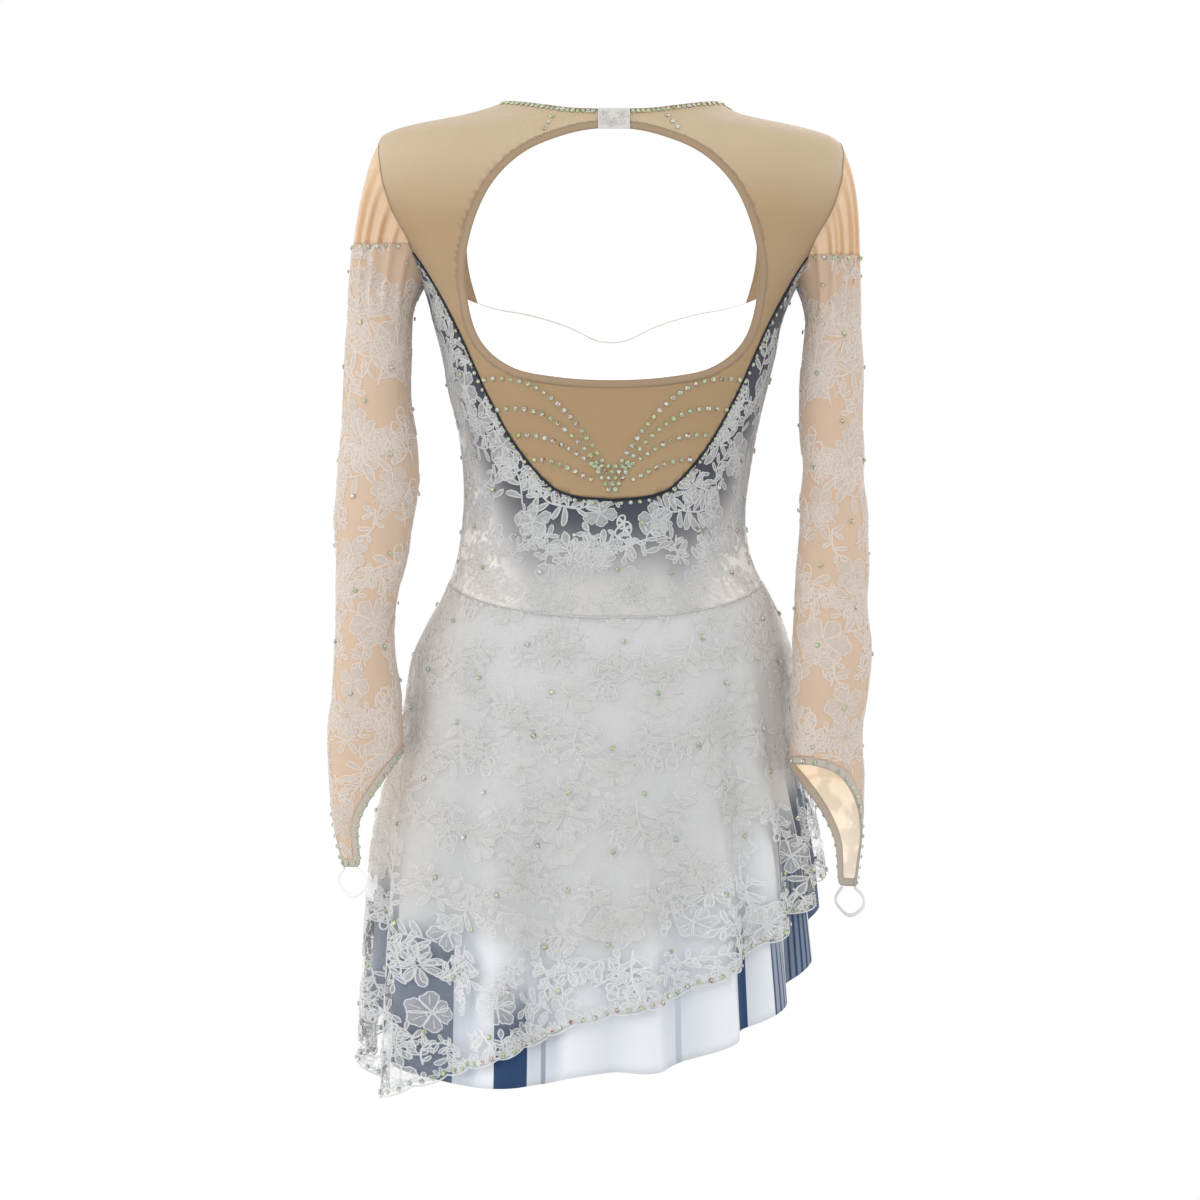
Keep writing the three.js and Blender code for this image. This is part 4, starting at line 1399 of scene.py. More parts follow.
def lace_finish(name, colour, alpha, cords=False, faint=None, gain=0.0, side=None):
    """The lace's petals, with a fine weave, or its cords, with twisted threads.

    Faint is its tone where it isn't bold, and gain is what bold adds to its alpha.
    """
    rough = 0.5 if cords else 0.72
    f = Finish(name, rough, Sheen_Weight=0.3, Sheen_Roughness=0.5, Specular_IOR_Level=0.25)
    uv, x, y = f.flat()
    bold = f.mark("bold")
    # side paints a glow: a lighter tone towards the dress's sides
    quiet = f.mix(f.mark("side"), faint, side) if side else faint
    base = f.mix(bold, quiet, colour) if faint else colour
    if cords:
        twist = sine(x + y, TWIST) * 0.5 + 0.5
        f.set("Base Color", f.mix(twist * 0.1, base, (0.5, 0.49, 0.48)))
        f.set("Alpha", bold * gain + alpha if gain else alpha)
        f.bump(twist, 0.0002, 0.5)
    else:
        weave = abs(sine(x, 2 * WEAVE[0])) * abs(sine(y, 2 * WEAVE[1]))
        patch = f.noise(70, 2, uv)
        light = (weave * 0.2 + patch * 0.2).clamped()
        f.set("Base Color", f.mix(light, base, (0.86, 0.86, 0.86)))
        f.set("Alpha", (weave * 0.2 + patch * 0.25 + bold * gain + (alpha - 0.2)).clamped())
        f.bump(weave, 0.0002, 0.5)
    return f.material


def net_finish(name, colour, side, alpha):
    """The lace's fine net ground, clearer towards the hem, with painted light brightening it at the
    sides.
    """
    f = Finish(name, 0.7, Sheen_Weight=0.2, Specular_IOR_Level=0.25)
    uv, net = knit(f, "net")
    cloud = f.noise(14, 3, uv)
    # painted glow: the net's tone turns lighter towards the sides
    f.set("Base Color", f.mix(f.mark("side"), f.mix(cloud, toned(colour, 0.95), colour), side))
    dense = net * 0.12 + cloud * 0.06 - f.mark("bold") * (alpha - 0.04) + (alpha - 0.08)
    f.set("Alpha", dense.clamped())
    f.bump(net, 0.0003, 0.5)
    return f.material


def lining_finish(name, colour, side, navy):
    """The bodice's net over its lining, dyed navy at the upper edge, with painted light brightening
    its sides.
    """
    f = Finish(name, 0.66, Sheen_Weight=0.2, Specular_IOR_Level=0.25)
    uv, net = knit(f, "net")
    cloud = f.noise(22, 4, uv)
    dye = (f.mark("dye") + (cloud - 0.5) * 0.22 * f.mark("fade")).clamped()
    # painted glow: the lining's tone turns lighter towards the sides, where light shows through the
    # thin cloth
    white = f.mix(f.mark("side"), f.mix(cloud, toned(colour, 0.95), colour), side)
    f.set("Base Color", f.mix(net * 0.09, f.mix(dye, white, navy), toned(colour, 1.1)))
    f.bump(net, 0.0003, 0.5)
    return f.material


def underskirt_finish(name, pale, blue):
    """Thin pale mesh whose pleats show the blue of its inside."""
    f = Finish(name, 0.42, Sheen_Weight=0.15, Specular_IOR_Level=0.35)
    _, net = knit(f, "fine")
    lines = (sine(f.mark("angle"), LINES) * 0.5 + 0.5) ** 3
    share = f.mark("blue") * (1 - f.mark("stripes") * 0.2) + lines * f.mark("stripes") * 0.35
    base = f.mix(f.noise(5, 2) * 0.6, pale, toned(pale, 0.95))
    base = f.mix(f.mark("lined"), base, tuple(np.multiply(pale, (0.93, 0.92, 0.9)).tolist()))
    base = f.mix(f.mark("shadow") * 0.5, base, shade(168, 182, 202))
    f.set("Base Color", f.mix(share.clamped(), base, f.mix(net * 0.3, blue, toned(blue, 1.5))))
    f.bump(net, 0.0002, 0.35)
    return f.material


def inside_finish(name, blue):
    """The blue inside of the underskirt."""
    f = Finish(name, 0.45, Sheen_Weight=0.15, Specular_IOR_Level=0.3)
    _, net = knit(f, "fine")
    light = (net * 0.35 + f.noise(12, 3) * 0.3).clamped()
    f.set("Base Color", f.mix(light, blue, toned(blue, 1.7)))
    f.bump(net, 0.0002, 0.35)
    return f.material


def inner_finish(name, tone, painted_glow, lace=0.0):
    """Thin cloth seen from inside and its lace, glowing with painted light for the light that comes
    through it.
    """
    f = Finish(name, 0.7, Emission_Strength=painted_glow)
    _, net = knit(f, "fine")
    figures = ((f.noise(55, 3) - 0.5) * 9 + 0.5).clamped() * lace
    white = f.mix((net * 0.3 + figures).clamped(), tone, toned(tone, 0.9 - 0.14 * lace))
    f.set("Base Color", white)
    f.set("Emission Color", white)
    f.bump(net, 0.0002, 0.4)
    return f.material


def stone_finish(name):
    """Cut stones whose facets change between pale green, rose and clear: partly their own colour,
    partly painted glints and reflections.
    """
    f = Finish(name, 0.12, Metallic=0.35, Coat_Weight=0.5, Coat_Roughness=0.04)
    painted_glint_noise = f.noise(1400, 1)
    stops = (
        (0.0, shade(50, 54, 44)),
        (0.16, shade(132, 138, 74)),
        (0.34, shade(208, 214, 176)),
        (0.5, shade(108, 138, 110)),
        (0.64, shade(228, 231, 222)),
        (0.78, shade(164, 116, 108)),
        (0.9, shade(96, 102, 60)),
        (1.0, shade(42, 44, 42)),
    )
    # each facet's colour: the stone's tint with painted glints on top
    place = (f.mark("tint") * 0.95 + painted_glint_noise * 0.3 - 0.12).clamped()
    f.set("Base Color", f.node("ShaderNodeValToRGB", {"stops": stops}, (place,)))
    f.set("Roughness", painted_glint_noise * 0.25 + 0.06)
    return f.material


def thread_finish(name, colour, rough=0.6):
    """Plain thread, piping or elastic with a fine twist."""
    f = Finish(name, rough, Specular_IOR_Level=0.3)
    f.set("Base Color", f.mix(f.noise(320, 2) * 0.5, colour, toned(colour, 0.8)))
    f.bump(f.noise(1100, 1), 0.0002, 0.5)
    return f.material


def band_finish(name, colour, deep):
    """Folded mesh binding: a dense knit, darker towards its edges."""
    f = Finish(name, 0.55, Sheen_Weight=0.2, Specular_IOR_Level=0.3)
    _, net = knit(f, "band")
    share = (f.mark("edge") * 0.65 + f.noise(30, 3) * 0.3).clamped()
    f.set("Base Color", f.mix(share, colour, toned(colour, deep)))
    f.bump(net, 0.0003, 0.6)
    return f.material


def floor_finish(name, light, dark):
    """The pale floor."""
    f = Finish(name, 0.85)
    f.set("Base Color", f.mix(f.noise(1.5, 3), light, dark))
    return f.material


def colour(name, text, value):
    """A colour that the panel shows."""
    return bpy.props.FloatVectorProperty(
        name=name, description=text, subtype="COLOR", size=3, min=0, max=1, default=value
    )


def number(name, text, value, least=0.0, kind="DISTANCE"):
    """A size in metres, or a power in watts, that the panel shows."""
    return bpy.props.FloatProperty(
        name=name, description=text, subtype=kind, default=value, min=least
    )


class DressColours(bpy.types.PropertyGroup):
    """Colours of the cloths and trims."""

    mesh: colour("Mesh", "Yoke mesh at the shoulders", shade(198, 176, 146))
    mesh_deep: colour("Mesh low", "Yoke mesh under the open back", shade(160, 132, 96))
    head: colour("Sleeve head", "Sheer mesh of the sleeve heads", shade(236, 203, 162))
    head_deep: colour("Sleeve head folds", "The same mesh where it folds", shade(172, 124, 74))
    band: colour("Band", "Folded band round the open back", shade(166, 142, 114))
    lining: colour("Lining", "Bodice lining under its lace", shade(197, 196, 195))
    # painted glow: the lining's lighter tone towards the sides
    lining_side: colour("Lining sides", "The lining towards the sides", shade(238, 234, 230))
    navy: colour("Navy", "Dyed edge of the bodice lining", shade(44, 50, 66))
    lace: colour("Lace", "Petals and leaves of the lace", shade(220, 221, 222))
    lace_light: colour("Lace threads", "Raised cords of the lace", shade(236, 237, 238))
    lace_quiet: colour("Quiet lace", "The lace where it hardly shows", shade(224, 224, 222))
    # painted glow: the lace's lighter tone at the dress's sides
    lace_side: colour("Side lace", "The lace at the dress's bright sides", shade(246, 241, 237))
    net: colour("Net", "Net ground of the lace skirt", shade(226, 226, 225))
    sleeve: colour("Sleeve", "Net ground of the sleeves", shade(204, 178, 154))
    sleeve_lace: colour("Sleeve lace", "Petals of the sleeve lace", shade(218, 204, 192))
    pale: colour("Underskirt", "Outside of the underskirt", shade(226, 229, 233))
    blue: colour("Blue", "Inside of the underskirt", shade(14, 56, 96))
    cuff: colour("Cuff", "Cuff bindings", shade(196, 186, 174))
    white: colour("White", "Tab, elastic and thread", shade(236, 236, 234))


class DressSizes(bpy.types.PropertyGroup):
    """Sizes of the trims and of the light."""

    stone: number("Stone", "Radius of a sewn stone", 0.0022, 0.0005)
    piping: number("Piping", "Radius of the navy piping", 0.0010, 0.0003)
    lace_pitch: number("Lace repeat", "Distance between the lace's flowers", 0.072, 0.04)
    seam_pitch: number("Stitch", "Distance between stitches", 0.0032, 0.001)
    key: number("Key light", "Power of the key light", 22, kind="POWER")
    fill: number("Side light", "Power of each side light", 26, kind="POWER")


def size(name):
    """A size in millimetres."""
    return getattr(bpy.context.scene.dress_sizes, name) * 1000


def material(name):
    """A finish by its name, made the first time that it is asked for."""
    found = bpy.data.materials.get(name)
    if found:
        return found
    group = bpy.context.scene.dress_colours
    c = {key: tuple(getattr(group, key)) for key in DressColours.__annotations__}
    # side is the lace's painted glow towards the dress's sides.
    quiet, side = c["lace_quiet"], c["lace_side"]
    sleeve_lace, white = c["sleeve_lace"], c["white"]
    makers = {
        "yoke mesh": (mesh_finish, c["mesh"], c["mesh_deep"], 0.92, "low"),
        "sleeve head mesh": (mesh_finish, c["head"], c["head_deep"], 0.36, "low"),
        "band mesh": (band_finish, c["band"], 0.8),
        "dyed lining": (lining_finish, c["lining"], c["lining_side"], c["navy"]),
        # The insides of the lining and the sleeves glow with painted light.
        "white lining": (inner_finish, shade(246, 246, 246), 0.42),
        "sleeve inside": (inner_finish, shade(242, 228, 208), 0.34, 1.0),
        "lace petals": (lace_finish, c["lace"], 0.42, False, quiet, -0.1, side),
        "lace cords": (lace_finish, c["lace_light"], 0.62, True, toned(quiet, 1.01), 0.1, side),
        "bodice petals": (lace_finish, toned(c["lace"], 0.77), 0.34, False, quiet, 0.2, side),
        "bodice cords": (lace_finish, toned(c["lace_light"], 0.79), 0.5, True, quiet, 0.38, side),
        "skirt net": (net_finish, c["net"], side, 0.32),
        "sleeve net": (mesh_finish, c["sleeve"], toned(c["sleeve"], 0.9), 0.95),
        "sleeve lace petals": (lace_finish, sleeve_lace, 0.6),
        "sleeve lace cords": (lace_finish, toned(sleeve_lace, 1.14), 0.84, True),
        "pale underskirt": (underskirt_finish, c["pale"], c["blue"]),
        "blue inside": (inside_finish, c["blue"]),
        "cuff mesh": (band_finish, c["cuff"], 0.75),
        "tab lace": (lace_finish, shade(200, 196, 187), 1.2),
        "stones": (stone_finish,),
        "navy piping": (thread_finish, toned(c["navy"], 0.55)),
        "mesh thread": (thread_finish, toned(c["band"], 0.9)),
        "white thread": (thread_finish, white),
        "white elastic": (thread_finish, white, 0.75),
        "pale floor": (floor_finish, shade(236, 236, 236), shade(228, 228, 230)),
    }
    maker, *facts = makers[name]
    return maker(name, *facts)


def flat_body(u, v, p):
    """Flat coordinates of the body's cloths."""
    return np.stack([np.radians(u) * BODY_RADIUS, p[:, 2]], axis=-1)


def in_armhole(p):
    """Distance inside an armhole, seen from the side."""
    return np.where(np.abs(p[:, 0]) < 120, -BIG, inside(ARMHOLE_OUTLINE, p[:, 1], p[:, 2]))


def off_armhole(p, u, v):
    """Distance outside an armhole."""
    return -in_armhole(p)


def yoke_low(u, v, p):
    """How deep the yoke's tone is: more towards the lower back."""
    return smooth((-8 - p[:, 2]) / 84) * 0.9 + smooth((-110 - p[:, 2]) / 150) * 0.08


def open_slit(p, u, v):
    """Cuts the slit under the closure tab."""
    return np.where(p[:, 2] < -60, BIG, np.abs(p[:, 0] - SLIT) - 0.5)


def neck_clear(p, u, v):
    """Distance outside the front neckline."""
    x, below, over = (along(NECK_FRONT, "z", "x", p[:, 2] + step) for step in (0, -1, 1))
    return (np.abs(p[:, 0]) - x) / np.hypot(1, (over - below) / 2)


BODY_ROWS = np.linspace(0, 23, 99)
BACK_TURNS = np.linspace(-90, 90, 105)
FRONT_TURNS = np.linspace(90, 270, 105)
HALVES = (("back", -90, 90), ("front", 90, 270))

# The camera stands where it sees a frame of this width at the garment's middle, in metres.
CAMERA_SPOT, CAMERA_AWAY, FRAME_WIDTH, SENSOR = (0.0108, 7.07, -0.4275), 7.0, 1.08, 36
LIGHT_AIM = (0, 0, -0.42)
FLOOR_RINGS = table(
    "radius drop",
    (1.2, 0),
    (2.4, 0),
    (3.6, 0),
    (4.6, 0),
    (4.9, -4),
    (4.98, -14),
    (5.0, -30),
)


class DRESS_OT_stage(bpy.types.Operator):
    """Sets up the camera, the light and the pale floor."""

    bl_idname = "dress.stage"
    bl_label = "Stage"

    def execute(self, context):
        scene = context.scene
        camera = bpy.data.objects.new("Camera", bpy.data.cameras.new("Camera"))
        camera.location = CAMERA_SPOT
        camera.rotation_euler = (math.pi / 2, 0, math.pi)
        camera.data.sensor_width = SENSOR
        camera.data.lens = SENSOR * CAMERA_AWAY / FRAME_WIDTH
        camera.data.clip_end = 60
        scene.collection.objects.link(camera)
        scene.camera = camera
        sizes = scene.dress_sizes
        for name, place, power, width in (
            ("Key", (1.4, 3.4, 1.7), sizes.key, 2.4),
            ("Left side", (3.4, 0.3, 0.1), sizes.fill, 2.6),
            ("Right side", (-3.4, 0.3, 0.1), sizes.fill * 0.5, 2.6),
            ("Front key", (-1.4, -3.4, 1.7), sizes.key, 2.4),
        ):
            light = bpy.data.objects.new(name, bpy.data.lights.new(name, "AREA"))
            light.data.energy, light.data.size = power, width
            light.location = place
            x, y, z = np.array(LIGHT_AIM) - place
            tilt, turn = math.atan2(math.hypot(x, y), -z), math.atan2(y, x) - math.pi / 2
            light.rotation_euler = (tilt, 0, turn)
            scene.collection.objects.link(light)
        world = bpy.data.worlds.new("Studio")
        world.use_nodes = True
        world.node_tree.nodes["Background"].inputs[0].default_value = (1, 1, 1, 1)
        world.node_tree.nodes["Background"].inputs[1].default_value = 1.0
        scene.world = world
        scene.view_settings.view_transform = "Standard"
        self.floor()
        return {"FINISHED"}

    def floor(self, n=72):
        """A round pale floor with a soft rolled edge."""
        points, faces = [(0, 0, FLOOR)], []
        a = np.arange(n) * 2 * math.pi / n
        for r, drop in zip(*FLOOR_RINGS.values()):
            points += xyz(r / MM * np.cos(a), r / MM * np.sin(a), FLOOR + drop).tolist()
        for i in range(n):
            j = (i + 1) % n
            faces.append((0, 1 + i, 1 + j))
            for k in range(1, n * 6 + 1, n):
                faces.append((k + i, k + n + i, k + n + j, k + j))
        make_mesh("floor", points, faces, ["pale floor"])


class DRESS_OT_yokes(bpy.types.Operator):
    """Makes the mesh yokes of the back and the front."""

    bl_idname = "dress.yokes"
    bl_label = "Mesh yokes"

    def execute(self, context):
        def yoke(name, node, turns, *edges):
            piece = cloth(
                name, node, "nude_mesh", body, turns, BODY_ROWS, ["yoke mesh"], THICK["mesh"],
                flat_body, edges=edges, marks={"low": yoke_low},
            )

        def over_lace(rows):
            return lambda p, u, v: above(rows, p[:, 0], p[:, 2]) - SEAM_GAP / 2

        yoke(
            "back_yoke",
            "yoke_back",
            BACK_TURNS,
            over_lace(LACE_TOP_BACK),
            lambda p, u, v: -inside(KEYHOLE_OUTLINE, p[:, 0], p[:, 2]) - BINDING_WIDTH + 0.5,
            lambda p, u, v: -above(NECK_BACK, p[:, 0], p[:, 2]),
            off_armhole,
            open_slit,
        )
        for name, side in (("left", 1), ("right", -1)):
            yoke(
                f"front_yoke_{name}",
                f"yoke_front_{name}",
                FRONT_TURNS,
                lambda p, u, v: p[:, 0] * side - 1,
                over_lace(LACE_TOP_FRONT),
                neck_clear,
                off_armhole,
            )
        self.edges()
        return {"FINISHED"}

    def edges(self):
        """Rolled edges along the necklines and the armhole seams."""
        x = np.linspace(-96, 96, 90)
        back, _ = on_body(x, along(NECK_BACK, "x", "z", np.abs(x)) - 0.6, 0.2)
        parts = [tube(back[x < SLIT - 0.6], 0.9, 6), tube(back[x > SLIT + 0.6], 0.9, 6)]
        for side in (1, -1):
            z = np.linspace(25, -156, 80)
            front, _ = on_body(side * along(NECK_FRONT, "z", "x", z), z, 0.2, front=True)
            seam = armhole_starts(side, np.arange(0, 360, 4.0), 0.2)
            parts += [tube(front, 0.9, 6), tube(seam, 0.7, 6, closed=True)]
        finish(make_mesh("yoke_edges", *joined(parts), ["mesh thread"]), "nude_mesh")


def band_edge(distance):
    """How near a point of a binding is to either edge of it."""
    return np.abs(distance / (BINDING_WIDTH / 2) - 1) ** 3


class DRESS_OT_open_back(bpy.types.Operator):
    """Makes the folded band round the open back and the lace tab that closes the nape."""

    bl_idname = "dress.open_back"
    bl_label = "Open back"

    def execute(self, context):
        line = evenly(KEYHOLE_OUTLINE, 1.5, closed=True)
        line = np.vstack([line, line[:1]])
        far = lengths(line)
        total = far[-1]
        start = total - abs(SLIT)

        def place(s):
            at = (start + s) % total
            return np.stack([np.interp(at, far, line[:, k]) for k in (0, 1)], axis=-1)

        def surface(s, w):
            out = left_of(unit(place(s + 2) - place(s - 2)))
            spot = place(s) + out * np.asarray(w)[..., None]
            swell = 0.55 * np.sin(np.pi * np.clip(w / BINDING_WIDTH, 0.02, 0.98)) ** 0.6
            p, _ = on_body(spot[..., 0].ravel(), spot[..., 1].ravel(), swell.ravel())
            return p.reshape(*spot.shape[:-1], 3)

        along_it, across = np.linspace(0.5, total - 0.5, 300), np.linspace(0, BINDING_WIDTH, 8)
        band = cloth(
            "open_back_band", "keyhole_binding", "mesh_binding", surface, along_it, across,
            ["band mesh"], THICK["band"], lambda u, v, p: np.stack([u, v], axis=-1), lift=0.3,
            marks={"edge": lambda u, v, p: band_edge(v)},
        )
        spots = place(evenly(np.linspace(2, total - 2, 400)[:, None], size("seam_pitch"))[:, 0])
        row = on_body(*(spots + left_of(ahead_of(spots)) * 5.6).T, 0.72)
        stitches("open_back_stitches", "mesh_binding", [row], "mesh thread")
        self.tab()
        return {"FINISHED"}

    def tab(self):
        """The lace tab at the nape with its stitched ends."""
        edges = [
            lambda p, u, v: p[:, 0] - TAB["low"],
            lambda p, u, v: TAB["high"] - p[:, 0],
            lambda p, u, v: TAB["top"] - p[:, 2],
            lambda p, u, v: p[:, 2] - TAB["bottom"],
        ]
        tab = cloth(
            "nape_tab", "closure_tab", "tab_lace", body, np.linspace(-13, 10, 40),
            np.linspace(1.6, 6.6, 36), ["tab lace"], THICK["tab"], flat_body, lift=2.2,
            edges=edges,
        )
        rng = np.random.default_rng(41)
        figures = {"star": [star_flower(rng, 5.4, 6)], "small": [leafy_spray(rng, 7.5, 3)]}
        flowers = ((-9.5, 8.5, 10), (0.5, 0.5, 40), (7.5, 9, 0))
        sprays = ((-13, -1.5, 40), (-3, 5, 150), (5, 3, 200), (10, -2, -40))
        flat = merged(edge_row(figures, "star", flowers, 5), edge_row(figures, "small", sprays, 6))

        def keep(u, v):
            return np.min([edge(body(u, v), u, v) for edge in edges], axis=0) > 0.5

        looks = ["lace cords", "lace cords"]
        lace = lay_lace("nape_tab_lace", "tab_lace", flat, body, body_turn, keep, looks, lift=2.25)
        z = np.arange(-3.2, 13.6, 2.6)
        ends = ((TAB["low"] + 1.2, 2.3), (TAB["high"] - 1.2, 2.3), (15.3, 0.9), (-20.4, 0.9))
        rows = [on_body(np.full(len(z), x), z, high) for x, high in ends]
        stitches("nape_stitches", "tab_lace", rows, "white thread", length=1.8)


class DRESS_OT_bodice(bpy.types.Operator):
    """Makes the lined lace bodice, its piping and its lace."""

    bl_idname = "dress.bodice"
    bl_label = "Bodice"

    def execute(self, context):
        figures = motif_set(7, ringed=False)
        self.panel("back", LACE_TOP_BACK, BACK_TURNS, figures, 0.8, 11, "navy piping")
        self.panel("front", LACE_TOP_FRONT, FRONT_TURNS, figures, 0.94, 12, "white thread")
        return {"FINISHED"}

    def panel(self, name, rows, turns, figures, repeat, seed, pipe_look):
        """One half of the bodice."""
        low, high = turns[0], turns[-1]

        def depth(p):
            return -above(rows, p[:, 0], p[:, 2])

        def reaches(p):
            return 1 if name == "back" else smooth((np.abs(p[:, 0]) - 95) / 75)

        def dye(u, v, p):
            reach = 76 - 48 * smooth((np.abs(p[:, 0]) - 70) / 80)
            return reaches(p) * (1 - smooth((depth(p) - 12) / reach))

        def fade(u, v, p):
            share = dye(u, v, p)
            return 4 * share * (1 - share)

        def bold(u, v, p):
            return reaches(p) * (1 - smooth((depth(p) - 40) / 50))

        # Where the lining and its lace are painted lighter towards the sides: a painted glow.
        def side(u, v, p):
            return smooth((np.abs(p[:, 0]) - 58) / 62)

        edges = [
            lambda p, u, v: depth(p) - 0.1,
            off_armhole,
            lambda p, u, v: p[:, 2] - waist(u),
        ]
        piece = cloth(
            f"{name}_bodice", f"bodice_{name}", "bodice_lace", body, turns, BODY_ROWS,
            ["dyed lining", "white lining"], THICK["bodice"], flat_body, edges=edges,
            marks={"dye": dye, "fade": fade, "side": side},
        )

        def keep(u, v):
            clear = np.min([edge(body(u, v), u, v) for edge in edges], axis=0)
            return (clear > 0.4) & (u > low) & (u < high)

        def to_body(x, y):
            return np.degrees(x / BODY_RADIUS), row_at(y)

        x0, x1 = math.radians(low) * BODY_RADIUS - 20, math.radians(high) * BODY_RADIUS + 20
        flat = scatter(figures, ((x0, x1), (-470, -80)), size("lace_pitch") * repeat, seed)
        looks, marks = ["bodice petals", "bodice cords"], {"bold": bold, "side": side}
        lace = lay_lace(
            f"{name}_bodice_lace", "bodice_lace", flat, body, to_body, keep, looks, marks=marks
        )
        x = np.linspace(-184, 184, 240)
        line, _ = on_body(x, along(rows, "x", "z", np.abs(x)), 0.5, front=name == "front")
        line = line[in_armhole(line) < -0.5]
        pipe = make_mesh(f"{name}_piping", *tube(line, size("piping"), 8), [pipe_look])
        finish(pipe, "bodice_lace")


class DRESS_OT_skirts(bpy.types.Operator):
    """Makes the slanted lace skirt with its net ground, flowers and corded hem."""

    bl_idname = "dress.skirts"
    bl_label = "Lace skirt"

    def execute(self, context):
        figures = motif_set(19)
        for half, repeat, seed in zip(HALVES, (0.96, 1.05), (21, 22)):
            self.panel(*half, figures, size("lace_pitch") * repeat, seed)
        return {"FINISHED"}

    def panel(self, name, low, high, figures, pitch, seed):
        """One half of the lace skirt."""

        def bold(u, v, p):
            return smooth((v - 0.54 - 0.22 * np.exp(-((u / 36) ** 2))) / 0.13)

        # Where the skirt's net and lace are painted lighter towards its sides, above the bold lower
        # lace: a painted glow.
        def side(u, v, p):
            return smooth((np.abs(np.sin(np.radians(u))) - 0.62) / 0.34) * (1 - bold(u, v, p))

        def flat_lace(u, v, p):
            return skirt_flat(u, waist(u) + (visible_hem("lace", u) - waist(u)) * v)

        def to_lace(x, y):
            return skirt_unflat("lace", x, y)

        def keep(u, v):
            return (u > low) & (u < high) & (v > 0.002) & (v < 0.998)

        marks = {"bold": bold, "side": side}
        piece = cloth(
            f"lace_skirt_{name}", f"skirt_{name}", "skirt_lace", LACE_SKIRT,
            np.linspace(low, high, 191), np.linspace(0, 1, 44), ["skirt net"], THICK["skirt"],
            flat_lace, marks=marks,
        )
        turns = np.linspace(low, high, 40)
        reach = np.vstack([skirt_flat(turns, np.full(40, z)) for z in SKIRT_SPAN])
        extent = list(zip(reach.min(axis=0) - 30, reach.max(axis=0) + 30))
        flowers = scatter(figures, extent, pitch, seed)
        turns = np.arange(low + 1.8, high, 3.6)
        at = skirt_flat(turns, visible_hem("lace", turns) + 3.5)
        before, after = (
            skirt_flat(turns + step, visible_hem("lace", turns + step)) for step in (-1, 1)
        )
        angle = np.degrees(np.arctan2(*(after - before)[:, ::-1].T))
        fans = edge_row(figures, "fan", np.column_stack([at, -angle + 180]), 23)
        turns = np.arange(low + 4, high, 8.0)
        count = np.arange(len(turns))
        at = skirt_flat(turns, visible_hem("lace", turns) + 26 + 9 * (count % 2))
        border = edge_row(figures, "small", np.column_stack([at, 70 * count + 35]), 24)
        flat, looks = merged(flowers, fans, border), ["lace petals", "lace cords"]
        parts = [
            lay_lace(
                f"lace_skirt_{name}_flowers", "skirt_lace", flat, LACE_SKIRT, to_lace, keep, looks,
                marks=marks,
            )
        ]
        for edge, share, radius, steps, bright in (
            ("hem", 0.999, 0.75, 420, 1.0),
            ("waist", 0.0005, 0.7, 160, 0.0),
        ):
            line = LACE_SKIRT(np.linspace(low, high, steps), np.full(steps, share))
            verts, faces = tube(line, radius, 5)
            tone = {"bold": np.full(len(verts), bright)}
            cord = make_mesh(f"lace_skirt_{name}_{edge}", verts, faces, looks[1:], marks=tone)
            finish(cord, "skirt_lace")
            parts.append(cord)


class DRESS_OT_underskirt(bpy.types.Operator):
    """Makes the underskirt, pale outside and blue inside."""

    bl_idname = "dress.underskirt"
    bl_label = "Underskirt"

    def execute(self, context):
        pleats = []
        for low, high, strong, top, stripes in zip(*BLUE_PLEATS.values()):
            edges = np.array([low, high])
            for _ in range(6):
                edges = np.array([low, high]) - fold_at(edges, -830.0)[1]
            pleats.append((*edges, top, strong, stripes))

        def painted(column):
            """How strong one of the pleats' last two columns is at each point."""

            def value(u, v, p):
                total = np.zeros(len(u))
                for low, high, top, *strong in pleats:
                    within = ((u > low) & (u < high)) * smooth((top - p[:, 2]) / 50)
                    total = np.maximum(total, strong[column] * within)
                return total

            return value

        marks = {
            "blue": painted(0),
            "stripes": painted(1),
            "shadow": lambda u, v, p: smooth(fold_at(u, p[:, 2])[0] / 22) * 0.7,
            "lined": lambda u, v, p: smooth((p[:, 2] + 738) / 4),
            "angle": lambda u, v, p: u,
        }
        creases = np.array([edge for pleat in pleats for edge in pleat[:2]])
        for name, low, high in HALVES:
            here = creases[(low < creases) & (creases < high)]
            turns = np.unique([*np.linspace(low, high, 181), *(here - 0.03), *(here + 0.03)])
            piece = cloth(
                f"underskirt_mesh_{name}", f"underskirt_{name}", "underskirt", UNDERSKIRT, turns,
                np.linspace(0, 1, 42), ["pale underskirt", "blue inside"], THICK["skirt"],
                lambda u, v, p: skirt_flat(u, p[:, 2]), marks=marks,
            )
        return {"FINISHED"}


def cuff_distance(facts):
    """A function for the distance above a cuff's edge, from the angle and the height."""
    outline = cuff_outline(facts)

    def distance(u, z):
        away = np.abs(wrapped(u - facts["point"]))
        return np.where(z > -450, BIG, inside(outline, np.radians(away) * CUFF_REACH, z))

    return distance


def drop_to(surface, u, z, low, high, steps):
    """The row of a sleeve's surface where it comes down to a height."""
    start, end = np.full(len(u), float(low)), np.full(len(u), float(high))
    return halved(start, end, steps, lambda v: surface(u, v)[:, 2] > z)[0]


